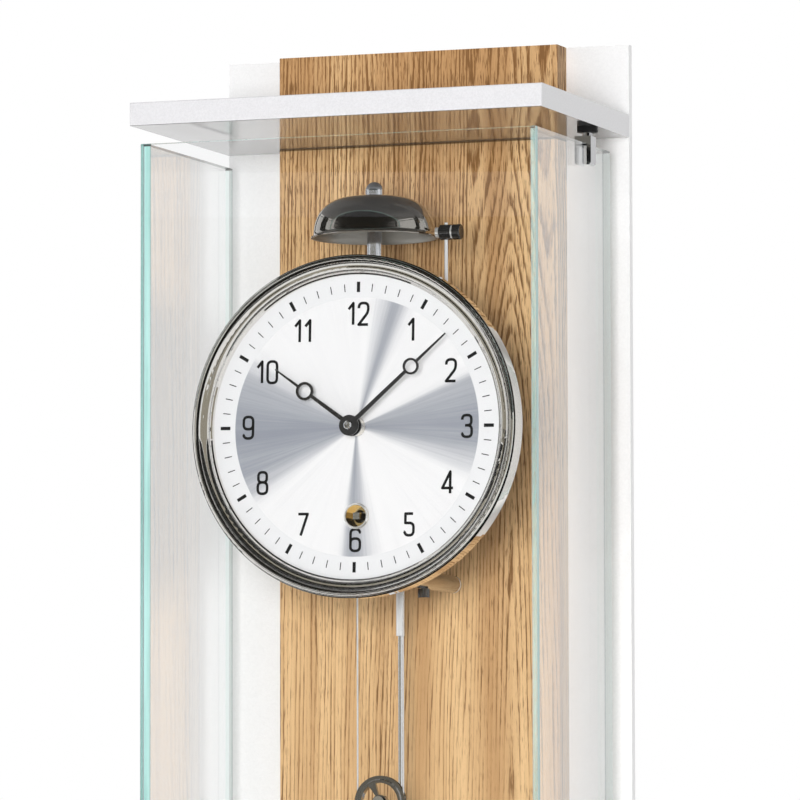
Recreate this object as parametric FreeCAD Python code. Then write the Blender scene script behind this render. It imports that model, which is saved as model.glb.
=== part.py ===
import FreeCAD, Part
import math
import os

from FreeCAD import Vector

# A regulator wall clock: an oak board on a silver back panel, two shelves, a hinged glass case, a round clock
# head with a bell, a weight on a pulley and a long pendulum.
# Millimetres. X to the right, Y towards the wall, Z up. The origin is the hanging hole, on the wall plane.

# Case
case_width = 280.0
case_height = 1100.0
shelf_depth = 174.0
shelf_thickness = 15.0
shelf_edge_round = 0.8
panel_thickness = 6.0
board_width = 194.0
board_thickness = 18.0
board_rise = 46.0
board_fit = 0.2
hang_drop = 26.0

# Hanger
hanger_width = 44.0
hanger_height = 30.0
hanger_thickness = 2.5
hanger_fit = 0.2
hanging_hole_diameter = 9.0
hanger_pocket_width = 26.0
hanger_pocket_height = 20.0
hanger_pocket_depth = 6.0

# Glass door
glass_thickness = 5.0
glass_side_inset = 6.0
glass_front_setback = 4.5
glass_rear_gap = 22.0
glass_end_gap = 11.5
hinge_from_rear = 42.0
hinge_outward = 1.5
bush_diameter = 13.4
bush_flange = 3.7
bush_spigot_diameter = 8.0
bush_spigot_length = 9.0
bush_fit = 0.05
hinge_pin_diameter = 4.0
hinge_pin_clear = 0.05
hinge_end_play = 0.4
clamp_cheek = 2.9
clamp_length = 10.5
clamp_reach = 13.5
clamp_glass_fit = 0.1
clamp_round = 2.0
clamp_neck_diameter = 6.4
clamp_neck_length = 2.4
pin_seat_depth = 6.0

# Clock head
dial_drop = 210.0
dial_setback = 40.5
dial_thickness = 1.0
dial_fit = 0.3
pan_inside_bezel = 1.0
pan_wall = 3.0
pan_ledge = 4.0
pan_front_lip = 4.0
pan_depth_behind_dial = 8.5
pan_back_thickness = 2.0
bezel_radius = 110.0
bezel_width = 12.4
bezel_height = 9.5
bezel_skirt = 2.5
bezel_fit = 0.05
grommet_radius = 8.4
grommet_bore_radius = 7.0
grommet_neck_radius = 7.7
grommet_lip = 1.6
grommet_floor = 1.2
grommet_floor_hole = 4.2
grommet_fit = 0.1

# Standoff pillars
pillar_diameter = 11.5
pillar_offset_x = 24.0
pillar_from_pan_edge = 14.0
pillar_screw_diameter = 4.0
pillar_screw_head = 8.0
pillar_screw_head_height = 2.4
pillar_screw_engaged = 12.0
screw_fit = 0.1
thumbscrew_from_board = 56.0
thumbscrew_diameter = 7.5
thumbscrew_head_height = 5.7
thumbscrew_shank_diameter = 3.0
thumbscrew_teeth = 24

# Movement frame
plate_gap_to_pan = 9.0
plate_thickness = 2.5
plate_spacing = 46.5
plate_half_width = 46.0
plate_foot_half_width = 30.0
plate_head_gap = 5.25
plate_waist = -60.0
plate_foot_gap = 1.25
plate_corner = 6.0
plate_post_diameter = 8.0
plate_post_tenon = 4.0
plate_post_top_x = 26.0
plate_post_below_top = 10.0
plate_post_low_x = 40.0
plate_post_low_z = -58.0
plate_nut_across = 7.0
plate_nut_height = 2.4
plate_nut_fit = 0.05
foot_diameter = 7.0
foot_x = 40.0
foot_top_z = 45.0
foot_low_z = -40.0
pivot_radius = 1.0
pivot_clear = 0.05
arbor_radius = 1.5
end_shake = 0.3
fit_clear = 0.05

# Going train
great_teeth = 96
great_module = 0.62
intermediate_pinion_teeth = 12
intermediate_teeth = 54
intermediate_module = 0.72
centre_pinion_teeth = 15
centre_teeth = 80
centre_module = 0.5
third_pinion_teeth = 8
third_teeth = 72
third_module = 0.45
escape_pinion_teeth = 10
third_lean_x = -11.0
escape_teeth = 30
escape_radius = 16.0
escape_tooth_depth = 3.2
anchor_distance = 24.14
wheel_thickness = 1.6
great_wheel_thickness = 2.2
pinion_extra = 1.0
spoke_width = 2.4
rim_width = 2.6
hub_radius = 4.5
pallet_clear = 1.1
pallet_span_deg = 45.0
anchor_width = 3.2
anchor_thickness = 2.4
pallet_length = 3.6
intermediate_from_front = 2.5
escape_wheel_from_front = 28.5
third_wheel_from_front = 17.5
centre_wheel_from_front = 38.5

# Barrel and winding
arbor_drop = 57.0
cable_diameter = 1.2
barrel_core_radius = 15.6
barrel_flange_radius = 18.6
barrel_flange = 1.5
barrel_from_front = 7.0
barrel_width = 15.5
winding_turns = 6
winding_pitch = 1.7
cable_exit_from_flange = 12.0
ratchet_teeth = 24
ratchet_radius = 14.0
ratchet_tooth = 1.6
ratchet_thickness = 1.6
great_wheel_gap = 0.8
winding_arbor_radius = 3.5
winding_square = 4.4
winding_square_length = 14.0
winding_end_behind_grommet = 1.0
click_length = 11.0
click_width = 3.0
click_thickness = 1.4
click_gap = 0.5

# Motion work
cannon_teeth = 12
minute_wheel_teeth = 36
minute_pinion_teeth = 10
hour_wheel_teeth = 40
cannon_module = 0.6
cannon_outer_radius = 2.4
hour_pipe_radius = 3.4
pipe_clear = 0.1
cam_radius = 7.0
cam_lobe_radius = 10.0
cam_thickness = 1.0
layer_gap = 0.4
motion_wheel_thickness = 1.4
minute_stud_radius = 1.6

# Hands
hour_hand_gap = 8.0
hand_thickness = 1.2
hand_gap = 3.6
hour_hand_angle = 305.9
hour_hand_length = 64.2
hour_ring_at = 39.5
hour_ring_outer = 5.9
hour_ring_inner = 4.2
hour_collet_radius = 6.3
hour_collet_gap = 0.6
minute_hand_angle = 49.1
minute_hand_length = 86.5
minute_ring_at = 55.5
minute_ring_outer = 5.3
minute_ring_inner = 3.9
hand_hub_radius = 6.6
hand_root_width = 2.9
hand_neck_width = 2.0
hand_tip_width = 0.8
hand_nut_radius = 2.7
hand_nut_height = 3.2

# Bell and hammer
bell_behind_dial = 34.0
bell_radius = 41.0
bell_height = 27.0
bell_wall = 1.2
bell_above_bezel = 14.5
bell_lip = 1.6
bell_lip_height = 4.0
bell_post_diameter = 9.8
bell_post_neck = 4.0
finial_diameter = 11.7
finial_height = 9.4
bridge_width = 14.0
bridge_height = 6.0
hammer_head_diameter = 10.0
hammer_head_length = 17.0
hammer_tip_gap = 1.4
hammer_above_rim = 1.9
hammer_rod_diameter = 2.2
hammer_rod_share = 0.39
hammer_rod_bend_above_plate = 2.0
hammer_rod_bend_radius = 8.0
hammer_rod_over = 1.2
hammer_pivot_inset = 8.0
hammer_pivot_below_top = 20.0
hammer_hub_radius = 4.5
hammer_hub_length = 8.0
hammer_tail_width = 3.0
hammer_tail_thickness = 1.0
hammer_tail_clear = 1.2

# Pendulum
pendulum_behind_plate = 10.5
pendulum_floor_gap = 70.0
cock_width = 16.0
cock_cheek = 2.0
cock_gap = 5.0
cock_height = 22.0
cock_below_axis = 3.5
suspension_pin_radius = 1.0
spring_width = 4.0
spring_thickness = 0.4
spring_length = 20.0
spring_block_width = 6.0
spring_block_height = 6.0
sleeve_diameter = 5.5
sleeve_bottom = -129.6
pendulum_rod_diameter = 3.1
rod_in_sleeve = 20.0
bob_radius = 55.0
bob_thickness = 22.0
bob_edge = 5.0
rod_below_bob = 26.0
rating_nut_diameter = 13.0
rating_nut_height = 7.0
rating_nut_teeth = 30
crutch_hub_radius = 4.0
crutch_width = 3.4
crutch_thickness = 1.6
crutch_behind_plate = 1.0
crutch_reach = 78.0
crutch_fork_clear = 0.2
crutch_fork_wall = 1.8

# Weight and pulley
pulley_drop = 238.4
pulley_groove_radius = 15.0
pulley_radius = 17.2
pulley_width = 5.0
pulley_rim_inner = 12.6
pulley_bevel_inner = 14.4
pulley_bevel_width = 0.7
pulley_hub_radius = 5.0
pulley_spokes = 3
pulley_spoke_width = 3.4
pulley_spoke_thickness = 2.4
pulley_first_spoke_deg = -5.0
axle_radius = 1.6
stirrup_cheek = 1.4
stirrup_width = 8.0
stirrup_side_gap = 0.8
stirrup_below_axle = 27.0
stirrup_bridge = 3.0
weight_diameter = 46.0
weight_length = 200.0
weight_cap_height = 6.0
weight_cap_overhang = 0.8
weight_stem_diameter = 6.0
weight_stem_length = 14.0
cable_post_radius = 2.6
cable_post_above_foot = 3.0
cable_post_past = 4.0
cable_gap = 0.02

# Places worked out from the sizes above
panel_top = hang_drop
panel_bottom = panel_top - case_height
panel_front = -panel_thickness
board_front = panel_front - board_thickness
shelf_front = panel_front - shelf_depth
upper_shelf_top = panel_top - board_rise
upper_shelf_under = upper_shelf_top - shelf_thickness
lower_shelf_under = panel_bottom + board_rise
lower_shelf_top = lower_shelf_under + shelf_thickness
half_width = case_width / 2
half_board = board_width / 2

glass_outer = half_width - glass_side_inset
glass_inner = glass_outer - glass_thickness
glass_front = shelf_front + glass_front_setback
glass_front_back = glass_front + glass_thickness
glass_rear = panel_front - glass_rear_gap
glass_top = upper_shelf_under - glass_end_gap
glass_bottom = lower_shelf_top + glass_end_gap
pane_x = glass_outer - glass_thickness / 2
hinge_x = pane_x + hinge_outward
hinge_y = glass_rear - hinge_from_rear

dial_z = upper_shelf_top - dial_drop
dial_front = shelf_front + dial_setback
dial_back = dial_front + dial_thickness
pan_back = dial_back + pan_depth_behind_dial
pan_inside = pan_back - pan_back_thickness
pan_lip = dial_front - pan_front_lip
bezel_front = dial_front - bezel_height
pan_radius = bezel_radius - pan_inside_bezel
dial_sight_radius = bezel_radius - bezel_width
pillar_offset_z = pan_radius - pillar_from_pan_edge
plate_top = pillar_offset_z - pillar_diameter / 2 - plate_head_gap
plate_post_top_z = plate_top - plate_post_below_top
plate_bottom = pillar_diameter / 2 + plate_foot_gap - pillar_offset_z
cable_post_z = plate_bottom + cable_post_above_foot

front_plate_front = pan_back + plate_gap_to_pan
front_plate_back = front_plate_front + plate_thickness
back_plate_front = front_plate_back + plate_spacing
back_plate_back = back_plate_front + plate_thickness

intermediate_distance = great_module * (great_teeth + intermediate_pinion_teeth) / 2
centre_distance = intermediate_module * (intermediate_teeth + centre_pinion_teeth) / 2
third_distance = centre_module * (centre_teeth + third_pinion_teeth) / 2
escape_distance = third_module * (third_teeth + escape_pinion_teeth) / 2
motion_distance = cannon_module * (cannon_teeth + minute_wheel_teeth) / 2
hour_module = 2 * motion_distance / (minute_pinion_teeth + hour_wheel_teeth)

barrel_front = front_plate_back + barrel_from_front
barrel_back = barrel_front + barrel_width + 2 * barrel_flange
ratchet_back = barrel_back + ratchet_thickness
great_front = ratchet_back + great_wheel_gap
great_back = great_front + great_wheel_thickness
cable_line_radius = barrel_core_radius + cable_diameter / 2
pulley_line_radius = pulley_groove_radius + cable_diameter / 2
cable_y = barrel_front + barrel_flange + cable_exit_from_flange
pulley_x = cable_line_radius - pulley_line_radius
pulley_z = -pulley_drop

hour_hand_front = dial_front - hour_hand_gap - hand_thickness
minute_hand_front = hour_hand_front - hand_gap - hand_thickness
bell_y = dial_front + bell_behind_dial
bell_rim = bezel_radius + bell_above_bezel
bell_top = bell_rim + bell_height
hammer_head_z = bell_rim + hammer_above_rim
hammer_head_x = bell_radius + hammer_tip_gap
hammer_rod_x = hammer_head_x + hammer_rod_share * hammer_head_length
hammer_rod_bend_z = plate_top + hammer_rod_bend_above_plate
pendulum_y = back_plate_back + pendulum_behind_plate


# Solids made from a few corners and radii
def block(x0, x1, y0, y1, z0, z1):
    """A box between two corners."""
    return Part.makeBox(x1 - x0, y1 - y0, z1 - z0, Vector(x0, y0, z0))


def rod_y(x, z, radius, y0, y1):
    """A cylinder along Y."""
    return Part.makeCylinder(radius, y1 - y0, Vector(x, y0, z), Vector(0, 1, 0))


def rod_z(x, y, radius, z0, z1):
    """A cylinder along Z."""
    return Part.makeCylinder(radius, z1 - z0, Vector(x, y, z0), Vector(0, 0, 1))


def rod_x(y, z, radius, x0, x1):
    """A cylinder along X."""
    return Part.makeCylinder(radius, x1 - x0, Vector(x0, y, z), Vector(1, 0, 0))


def prism_y(points, y0, y1):
    """A flat outline of (x, z) corners carried along Y."""
    corners = [Vector(x, y0, z) for x, z in points]
    corners.append(corners[0])
    return Part.Face(Part.makePolygon(corners)).extrude(Vector(0, y1 - y0, 0))


def turned_y(profile, x, z):
    """A closed outline of (radius, y) corners turned about an axis along Y."""
    corners = [Vector(x + r, y, z) for r, y in profile]
    corners.append(corners[0])
    return Part.Face(Part.makePolygon(corners)).revolve(Vector(x, 0, z), Vector(0, 1, 0), 360)


def turned_wire(edges, centre, axis):
    """A closed outline of edges turned about an axis."""
    return Part.Face(Part.Wire(edges)).revolve(centre, axis, 360)


def line(a, b):
    """A straight edge."""
    return Part.LineSegment(a, b).toShape()


def arc(a, middle, b):
    """A round edge through three points."""
    return Part.Arc(a, middle, b).toShape()


def smooth(points):
    """A smooth edge through points."""
    curve = Part.BSplineCurve()
    curve.interpolate(points)
    return curve.toShape()


def polar(radius, angle_deg, x=0.0, z=0.0):
    """A point in the dial's plane, the angle counted from +X towards +Z."""
    angle = math.radians(angle_deg)
    return x + radius * math.cos(angle), z + radius * math.sin(angle)


def joined(shapes):
    """Several solids made one, with the seams between flush faces removed."""
    return shapes[0].multiFuse(shapes[1:]).removeSplitter()


def save(name, shape, lift=0.0):
    """Write one piece, lifted from the dial's centre to its place."""
    if lift:
        shape = shape.translated(Vector(0, 0, lift))
    shape.exportStep("parts/" + name + ".step")
    print(name, len(shape.Solids), shape.isValid(), round(shape.Volume, 1))


# Toothed wheels, each in the dial's plane about its own axis
tip_share = 0.11
pitch_share = 0.19
root_share = 0.21
addendum = 0.8
dedendum = 1.2


def tooth_outline(teeth, module, phase_deg, x, z):
    """Straight-flanked teeth, narrow enough to run with play."""
    step = 360.0 / teeth
    radius = module * teeth / 2
    root = radius - dedendum * module
    tip = radius + addendum * module
    flank = [(root, root_share), (radius, pitch_share), (tip, tip_share)]
    points = []
    for tooth in range(teeth):
        middle = phase_deg + tooth * step
        for r, share in flank:
            points.append(polar(r, middle - share * step, x, z))
        for r, share in reversed(flank):
            points.append(polar(r, middle + share * step, x, z))
    return points


def toothed_disc(teeth, module, phase_deg, x, z, y0, y1):
    """A plain disc with teeth."""
    return prism_y(tooth_outline(teeth, module, phase_deg, x, z), y0, y1)


def window(inner, outer, start_deg, end_deg, x, z, y0, y1):
    """The opening between two spokes."""
    half = (start_deg + end_deg) / 2
    outline = []
    for radius in (inner, outer):
        ends = [Vector(px, y0, pz) for px, pz in (polar(radius, a, x, z) for a in (start_deg, half, end_deg))]
        outline.append(ends)
    low, high = outline
    edges = [arc(*low), line(low[2], high[2]), arc(high[2], high[1], high[0]), line(high[0], low[0])]
    return Part.Face(Part.Wire(edges)).extrude(Vector(0, y1 - y0, 0))


def crossed(disc, rim_inner, hub, spokes, width, first_deg, x, z, y0, y1):
    """A disc with its web cut away to spokes."""
    step = 360.0 / spokes
    middle = (rim_inner + hub) / 2
    margin = math.degrees(width / 2 / middle)
    for spoke in range(spokes):
        start = first_deg + spoke * step + margin
        disc = disc.cut(window(hub, rim_inner, start, start + step - 2 * margin, x, z, y0, y1))
    return disc


def train_wheel(teeth, module, phase_deg, place, y0, y1, bore, spokes=5):
    """A spoked wheel with a hole for its arbor."""
    x, z = place
    disc = toothed_disc(teeth, module, phase_deg, x, z, y0, y1)
    rim_inner = module * teeth / 2 - dedendum * module - rim_width
    disc = crossed(disc, rim_inner, hub_radius, spokes, spoke_width, phase_deg, x, z, y0, y1)
    return disc.cut(rod_y(x, z, bore, y0, y1))


def meshed_phase(phase_a, teeth_a, place_a, teeth_b, place_b):
    """The turn of wheel B, in degrees, that puts its gap on the nearest tooth of wheel A."""
    toward = math.degrees(math.atan2(place_b[1] - place_a[1], place_b[0] - place_a[0]))
    offset = (phase_a - toward) % (360.0 / teeth_a)
    return toward + 180.0 - offset * teeth_a / teeth_b + 180.0 / teeth_b


def arbor(place, shoulder_radius=arbor_radius):
    """A steel arbor between the plates, with a pivot at each end."""
    x, z = place
    body = rod_y(x, z, shoulder_radius, front_plate_back + end_shake, back_plate_front - end_shake)
    pivots = rod_y(x, z, pivot_radius, front_plate_front, back_plate_back)
    return joined([body, pivots])


# Arbor places about the dial's centre
centre_place = (0.0, 0.0)
barrel_place = (0.0, -arbor_drop)
intermediate_z = (intermediate_distance ** 2 - centre_distance ** 2 - arbor_drop ** 2) / (2 * arbor_drop)
intermediate_place = (math.sqrt(centre_distance ** 2 - intermediate_z ** 2), intermediate_z)
third_place = (third_lean_x, math.sqrt(third_distance ** 2 - third_lean_x ** 2))
escape_place = (0.0, third_place[1] + math.sqrt(escape_distance ** 2 - third_lean_x ** 2))
anchor_place = (0.0, escape_place[1] + anchor_distance)
hammer_place = (plate_half_width - hammer_pivot_inset, plate_top - hammer_pivot_below_top)
minute_wheel_place = (-motion_distance, 0.0)
cable_post_place = (pulley_x - pulley_line_radius, cable_post_z)
suspension_z = anchor_place[1]
rod_end_z = lower_shelf_top + pendulum_floor_gap - dial_z
bob_z = rod_end_z + rod_below_bob + bob_radius

# Tooth turns that put each pair in mesh
great_phase = 90.0
intermediate_pinion_phase = meshed_phase(great_phase, great_teeth, barrel_place,
                                         intermediate_pinion_teeth, intermediate_place)
intermediate_phase = intermediate_pinion_phase
centre_pinion_phase = meshed_phase(intermediate_phase, intermediate_teeth, intermediate_place,
                                   centre_pinion_teeth, centre_place)
centre_phase = centre_pinion_phase
third_pinion_phase = meshed_phase(centre_phase, centre_teeth, centre_place, third_pinion_teeth, third_place)
third_phase = third_pinion_phase
escape_pinion_phase = meshed_phase(third_phase, third_teeth, third_place, escape_pinion_teeth, escape_place)
cannon_phase = 0.0
minute_wheel_phase = meshed_phase(cannon_phase, cannon_teeth, centre_place,
                                  minute_wheel_teeth, minute_wheel_place)
minute_pinion_phase = minute_wheel_phase
hour_wheel_phase = meshed_phase(minute_pinion_phase, minute_pinion_teeth, minute_wheel_place,
                                hour_wheel_teeth, centre_place)

# Wheel planes, counted back from the front plate
intermediate_y = front_plate_back + intermediate_from_front
third_wheel_y = front_plate_back + third_wheel_from_front
escape_wheel_y = front_plate_back + escape_wheel_from_front
centre_wheel_y = front_plate_back + centre_wheel_from_front

# Layers of the motion work, counted forward from the front plate
cam_back = front_plate_front - layer_gap
cam_front = cam_back - cam_thickness
minute_wheel_back = cam_front - layer_gap
minute_wheel_front = minute_wheel_back - motion_wheel_thickness
hour_wheel_back = minute_wheel_front - layer_gap
hour_wheel_front = hour_wheel_back - motion_wheel_thickness


# Case
def back_panel():
    """The silver panel against the wall, with the hanger let into its back."""
    panel = block(-half_width, half_width, panel_front, 0, panel_bottom, panel_top)
    seat_w = hanger_width / 2 + hanger_fit
    seat_h = hanger_height / 2 + hanger_fit
    panel = panel.cut(block(-seat_w, seat_w, -hanger_thickness, 0, -seat_h, seat_h))
    half_w = hanger_pocket_width / 2
    half_h = hanger_pocket_height / 2
    return panel.cut(block(-half_w, half_w, panel_front, 0, -half_h, half_h))


def oak_board():
    """The oak board on the panel, hollowed behind the hanging hole, with the pillar screws' holes."""
    board = block(-half_board, half_board, board_front, panel_front, panel_bottom, panel_top)
    half_w = hanger_pocket_width / 2
    half_h = hanger_pocket_height / 2
    board = board.cut(block(-half_w, half_w, panel_front - hanger_pocket_depth, panel_front, -half_h, half_h))
    for x, z in pillar_places():
        board = board.cut(rod_y(x, z + dial_z, pillar_screw_diameter / 2 + screw_fit, board_front, panel_front))
        head = rod_y(x, z + dial_z, pillar_screw_head / 2 + screw_fit,
                     panel_front - pillar_screw_head_height - screw_fit, panel_front)
        board = board.cut(head)
    return board


def shelf(z0, bush_z, spigot_way):
    """A shelf notched round the oak board, with the hinge bush's hole."""
    z1 = z0 + shelf_thickness
    plate = block(-half_width, half_width, shelf_front, panel_front, z0, z1)
    rounded = [e for e in plate.Edges if max(v.Y for v in e.Vertexes) < shelf_front + shelf_thickness]
    plate = plate.makeFillet(shelf_edge_round, rounded)
    notch = half_board + board_fit
    plate = plate.cut(block(-notch, notch, board_front - board_fit, panel_front, z0, z1))
    ends = sorted((bush_z, bush_z + spigot_way * (bush_spigot_length + bush_fit)))
    return plate.cut(rod_z(hinge_x, hinge_y, bush_spigot_diameter / 2 + bush_fit, *ends))


def hanger_plate():
    """The steel plate that hangs on the wall screw."""
    half_w = hanger_width / 2
    half_h = hanger_height / 2
    plate = block(-half_w, half_w, -hanger_thickness, 0, -half_h, half_h)
    return plate.cut(rod_y(0, 0, hanging_hole_diameter / 2, -hanger_thickness, 0))


# Glass door
def front_glass():
    """The front pane, which covers the side panes' edges."""
    return block(-glass_outer, glass_outer, glass_front, glass_front_back, glass_bottom, glass_top)


def side_glass(side):
    """A side pane, on the left (-1) or the right (1)."""
    x0, x1 = sorted((side * glass_inner, side * glass_outer))
    return block(x0, x1, glass_front_back, glass_rear, glass_bottom, glass_top)


def hinge_ends():
    """Each hinge as (shelf face, glass edge, way from the shelf into the glass)."""
    return ((upper_shelf_under, glass_top, -1), (lower_shelf_top, glass_bottom, 1))


def span_z(a, b):
    """Two heights, lower first."""
    return min(a, b), max(a, b)


def hinge_bush(face, way):
    """The black bush in the shelf: a flange, a spigot and the pin's bore."""
    flange = rod_z(hinge_x, hinge_y, bush_diameter / 2, *span_z(face, face + way * bush_flange))
    spigot = rod_z(hinge_x, hinge_y, bush_spigot_diameter / 2, *span_z(face, face - way * bush_spigot_length))
    bore = rod_z(hinge_x, hinge_y, hinge_pin_diameter / 2 + hinge_pin_clear,
                 *span_z(face + way * bush_flange, face - way * bush_spigot_length))
    return joined([flange, spigot]).cut(bore)


def hinge_clamp(face, edge, way):
    """The chrome fork astride the pane's edge, rounded at the ends of its cheeks, with a neck to the bush."""
    near = face + way * (bush_flange + hinge_end_play)
    neck_end = near + way * clamp_neck_length
    far = edge + way * clamp_reach
    half_x = glass_thickness / 2 + clamp_glass_fit + clamp_cheek
    half_y = clamp_length / 2
    body = block(pane_x - half_x, pane_x + half_x, hinge_y - half_y, hinge_y + half_y, *span_z(neck_end, far))
    tips = [e for e in body.Edges if min(abs(v.Z - far) for v in e.Vertexes) < 0.01
            and abs(e.Vertexes[0].X - e.Vertexes[1].X) < 0.01 and abs(e.Vertexes[0].Z - e.Vertexes[1].Z) < 0.01]
    body = body.makeFillet(clamp_round, tips)
    slot_x = glass_thickness / 2 + clamp_glass_fit
    body = body.cut(block(pane_x - slot_x, pane_x + slot_x, hinge_y - half_y, hinge_y + half_y,
                          *span_z(edge, far)))
    neck = rod_z(hinge_x, hinge_y, clamp_neck_diameter / 2, *span_z(near, neck_end))
    seat = rod_z(hinge_x, hinge_y, hinge_pin_diameter / 2, *span_z(near, near + way * pin_seat_depth))
    return joined([body, neck]).cut(seat)


def hinge_pin(face, way):
    """The steel pin pressed into the clamp and running in the bush."""
    near = face + way * (bush_flange + hinge_end_play)
    return rod_z(hinge_x, hinge_y, hinge_pin_diameter / 2,
                 *span_z(near + way * pin_seat_depth, face - way * (bush_spigot_length - end_shake)))


# Clock head, modelled about the dial's centre
def pillar_places():
    """The four standoff pillars' places."""
    return [(sx * pillar_offset_x, sz * pillar_offset_z) for sz in (1, -1) for sx in (-1, 1)]


def foot_places():
    """The four feet between the pan and the movement."""
    return [(sx * foot_x, z) for z in (foot_top_z, foot_low_z) for sx in (-1, 1)]


def dial_pan():
    """The round nickel pan that the dial lies in, with a ledge for the dial."""
    inner = pan_radius - pan_wall
    ledge = inner - pan_ledge
    profile = [(0, pan_inside), (ledge, pan_inside), (ledge, dial_back), (inner, dial_back), (inner, pan_lip),
               (pan_radius, pan_lip), (pan_radius, pan_back), (0, pan_back)]
    pan = turned_y(profile, 0, 0)
    pan = pan.cut(rod_y(0, 0, hour_pipe_radius + 1, pan_inside, pan_back))
    pan = pan.cut(rod_y(*barrel_place, grommet_bore_radius, pan_inside, pan_back))
    for x, z in pillar_places():
        pan = pan.cut(rod_y(x, z, pillar_screw_diameter / 2 + screw_fit, pan_inside, pan_back))
    return pan


def bezel():
    """The polished ring round the dial: rolled edge, bead, hollow, round moulding, and a skirt over the pan."""
    seat = pan_radius + bezel_fit
    skirt_back = dial_front + bezel_skirt
    inner = pan_radius - pan_wall

    def spot(inward, down):
        """A place on the profile, in shares of the ring's width from outside and its height from the front."""
        return Vector(bezel_radius - inward * bezel_width, bezel_front + down * bezel_height, 0)

    edges = [arc(spot(0.0, 0.36), spot(0.05, 0.17), spot(0.16, 0.095)),
             arc(spot(0.16, 0.095), spot(0.235, 0.0), spot(0.3, 0.085)),
             line(spot(0.3, 0.085), spot(0.3, 0.135)),
             arc(spot(0.3, 0.135), spot(0.42, 0.31), spot(0.6, 0.38)),
             line(spot(0.6, 0.38), spot(0.6, 0.325)),
             arc(spot(0.6, 0.325), spot(0.8, 0.375), spot(0.92, 0.61))]
    points = [spot(0.92, 0.61), spot(1.0, 0.67), Vector(dial_sight_radius, dial_front, 0),
              Vector(inner, dial_front, 0), Vector(inner, pan_lip, 0), Vector(seat, pan_lip, 0),
              Vector(seat, skirt_back, 0), Vector(bezel_radius, skirt_back, 0), spot(0.0, 0.36)]
    edges += [line(a, b) for a, b in zip(points, points[1:])]
    return turned_wire(edges, Vector(0, 0, 0), Vector(0, 1, 0))


def dial():
    """The dial plate, with holes for the hands and the winding grommet."""
    plate = rod_y(0, 0, pan_radius - pan_wall - dial_fit, dial_front, dial_back)
    plate = plate.cut(rod_y(0, 0, hour_pipe_radius + 1, dial_front, dial_back))
    return plate.cut(rod_y(*barrel_place, grommet_neck_radius + grommet_fit, dial_front, dial_back))


def winding_grommet():
    """The cup that lines the winding hole, with a floor round the winding arbor."""
    front = dial_front - grommet_lip
    floor = pan_inside - grommet_floor
    profile = [(grommet_bore_radius, front), (grommet_radius - grommet_lip / 2, front),
               (grommet_radius, front + grommet_lip / 2), (grommet_radius, dial_front),
               (grommet_neck_radius, dial_front), (grommet_neck_radius, pan_inside),
               (grommet_floor_hole, pan_inside), (grommet_floor_hole, floor), (grommet_bore_radius, floor)]
    return turned_y(profile, *barrel_place)


def standoff_pillar(x, z):
    """A round pillar from the oak board to the pan, drilled at both ends."""
    tube = rod_y(x, z, pillar_diameter / 2, pan_back, board_front)
    hole = pillar_screw_diameter / 2 + fit_clear
    depth = pillar_screw_engaged + 1.0
    tube = tube.cut(rod_y(x, z, hole, pan_back, pan_back + depth))
    return tube.cut(rod_y(x, z, hole, board_front - depth, board_front))


def thumbscrew_hole(x, z):
    """The hole under a lower pillar for its thumbscrew."""
    y = board_front - thumbscrew_from_board
    return rod_z(x, y, thumbscrew_shank_diameter / 2 + fit_clear, z - pillar_diameter, z)


def standoff_pillars():
    """Four pillars, the lower two drilled for a thumbscrew."""
    pillars = []
    for x, z in pillar_places():
        pillar = standoff_pillar(x, z)
        if z < 0:
            pillar = pillar.cut(thumbscrew_hole(x, z))
        pillars.append(pillar)
    return Part.Compound(pillars)


def pillar_screws():
    """Screws through the board and the pan into the pillars' ends."""
    screws = []
    for x, z in pillar_places():
        shank = pillar_screw_diameter / 2
        head = pillar_screw_head / 2
        back = [rod_y(x, z, shank, board_front - pillar_screw_engaged, panel_front),
                rod_y(x, z, head, panel_front - pillar_screw_head_height, panel_front)]
        front = [rod_y(x, z, shank, pan_inside, pan_back + pillar_screw_engaged),
                 rod_y(x, z, head, pan_inside - pillar_screw_head_height, pan_inside)]
        screws += [joined(back), joined(front)]
    return Part.Compound(screws)


def knurled(x, y, radius, teeth, z0, z1):
    """A round head with a knurled rim."""
    corners = []
    for n in range(2 * teeth):
        r = radius if n % 2 == 0 else 0.94 * radius
        angle = math.pi * n / teeth
        corners.append(Vector(x + r * math.cos(angle), y + r * math.sin(angle), z0))
    corners.append(corners[0])
    return Part.Face(Part.makePolygon(corners)).extrude(Vector(0, 0, z1 - z0))


def thumbscrews():
    """Knurled screws under the two lower pillars."""
    screws = []
    y = board_front - thumbscrew_from_board
    for x, z in pillar_places():
        if z < 0:
            seat = z - pillar_diameter / 2
            head = knurled(x, y, thumbscrew_diameter / 2, thumbscrew_teeth, seat - thumbscrew_head_height, seat)
            screws.append(joined([head, rod_z(x, y, thumbscrew_shank_diameter / 2, seat, z)]))
    return Part.Compound(screws)


# Movement frame
def plate_outline(y0, y1):
    """A plate with straight sides and a narrower foot, its corners rounded."""
    points = [(-plate_half_width, plate_top), (plate_half_width, plate_top), (plate_half_width, plate_waist),
              (plate_foot_half_width, plate_bottom), (-plate_foot_half_width, plate_bottom),
              (-plate_half_width, plate_waist)]
    plate = prism_y(points, y0, y1)
    upright = [e for e in plate.Edges if abs(e.Vertexes[0].Y - e.Vertexes[1].Y) > 0.5 * (y1 - y0)]
    return plate.makeFillet(plate_corner, upright)


def train_places():
    """Every arbor that has a pivot in both plates."""
    return [intermediate_place, centre_place, third_place, escape_place, anchor_place, hammer_place]


def plate_post_places():
    """The plate posts' places."""
    return [(sx * plate_post_top_x, plate_post_top_z) for sx in (-1, 1)] + [
        (sx * plate_post_low_x, plate_post_low_z) for sx in (-1, 1)]


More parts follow.
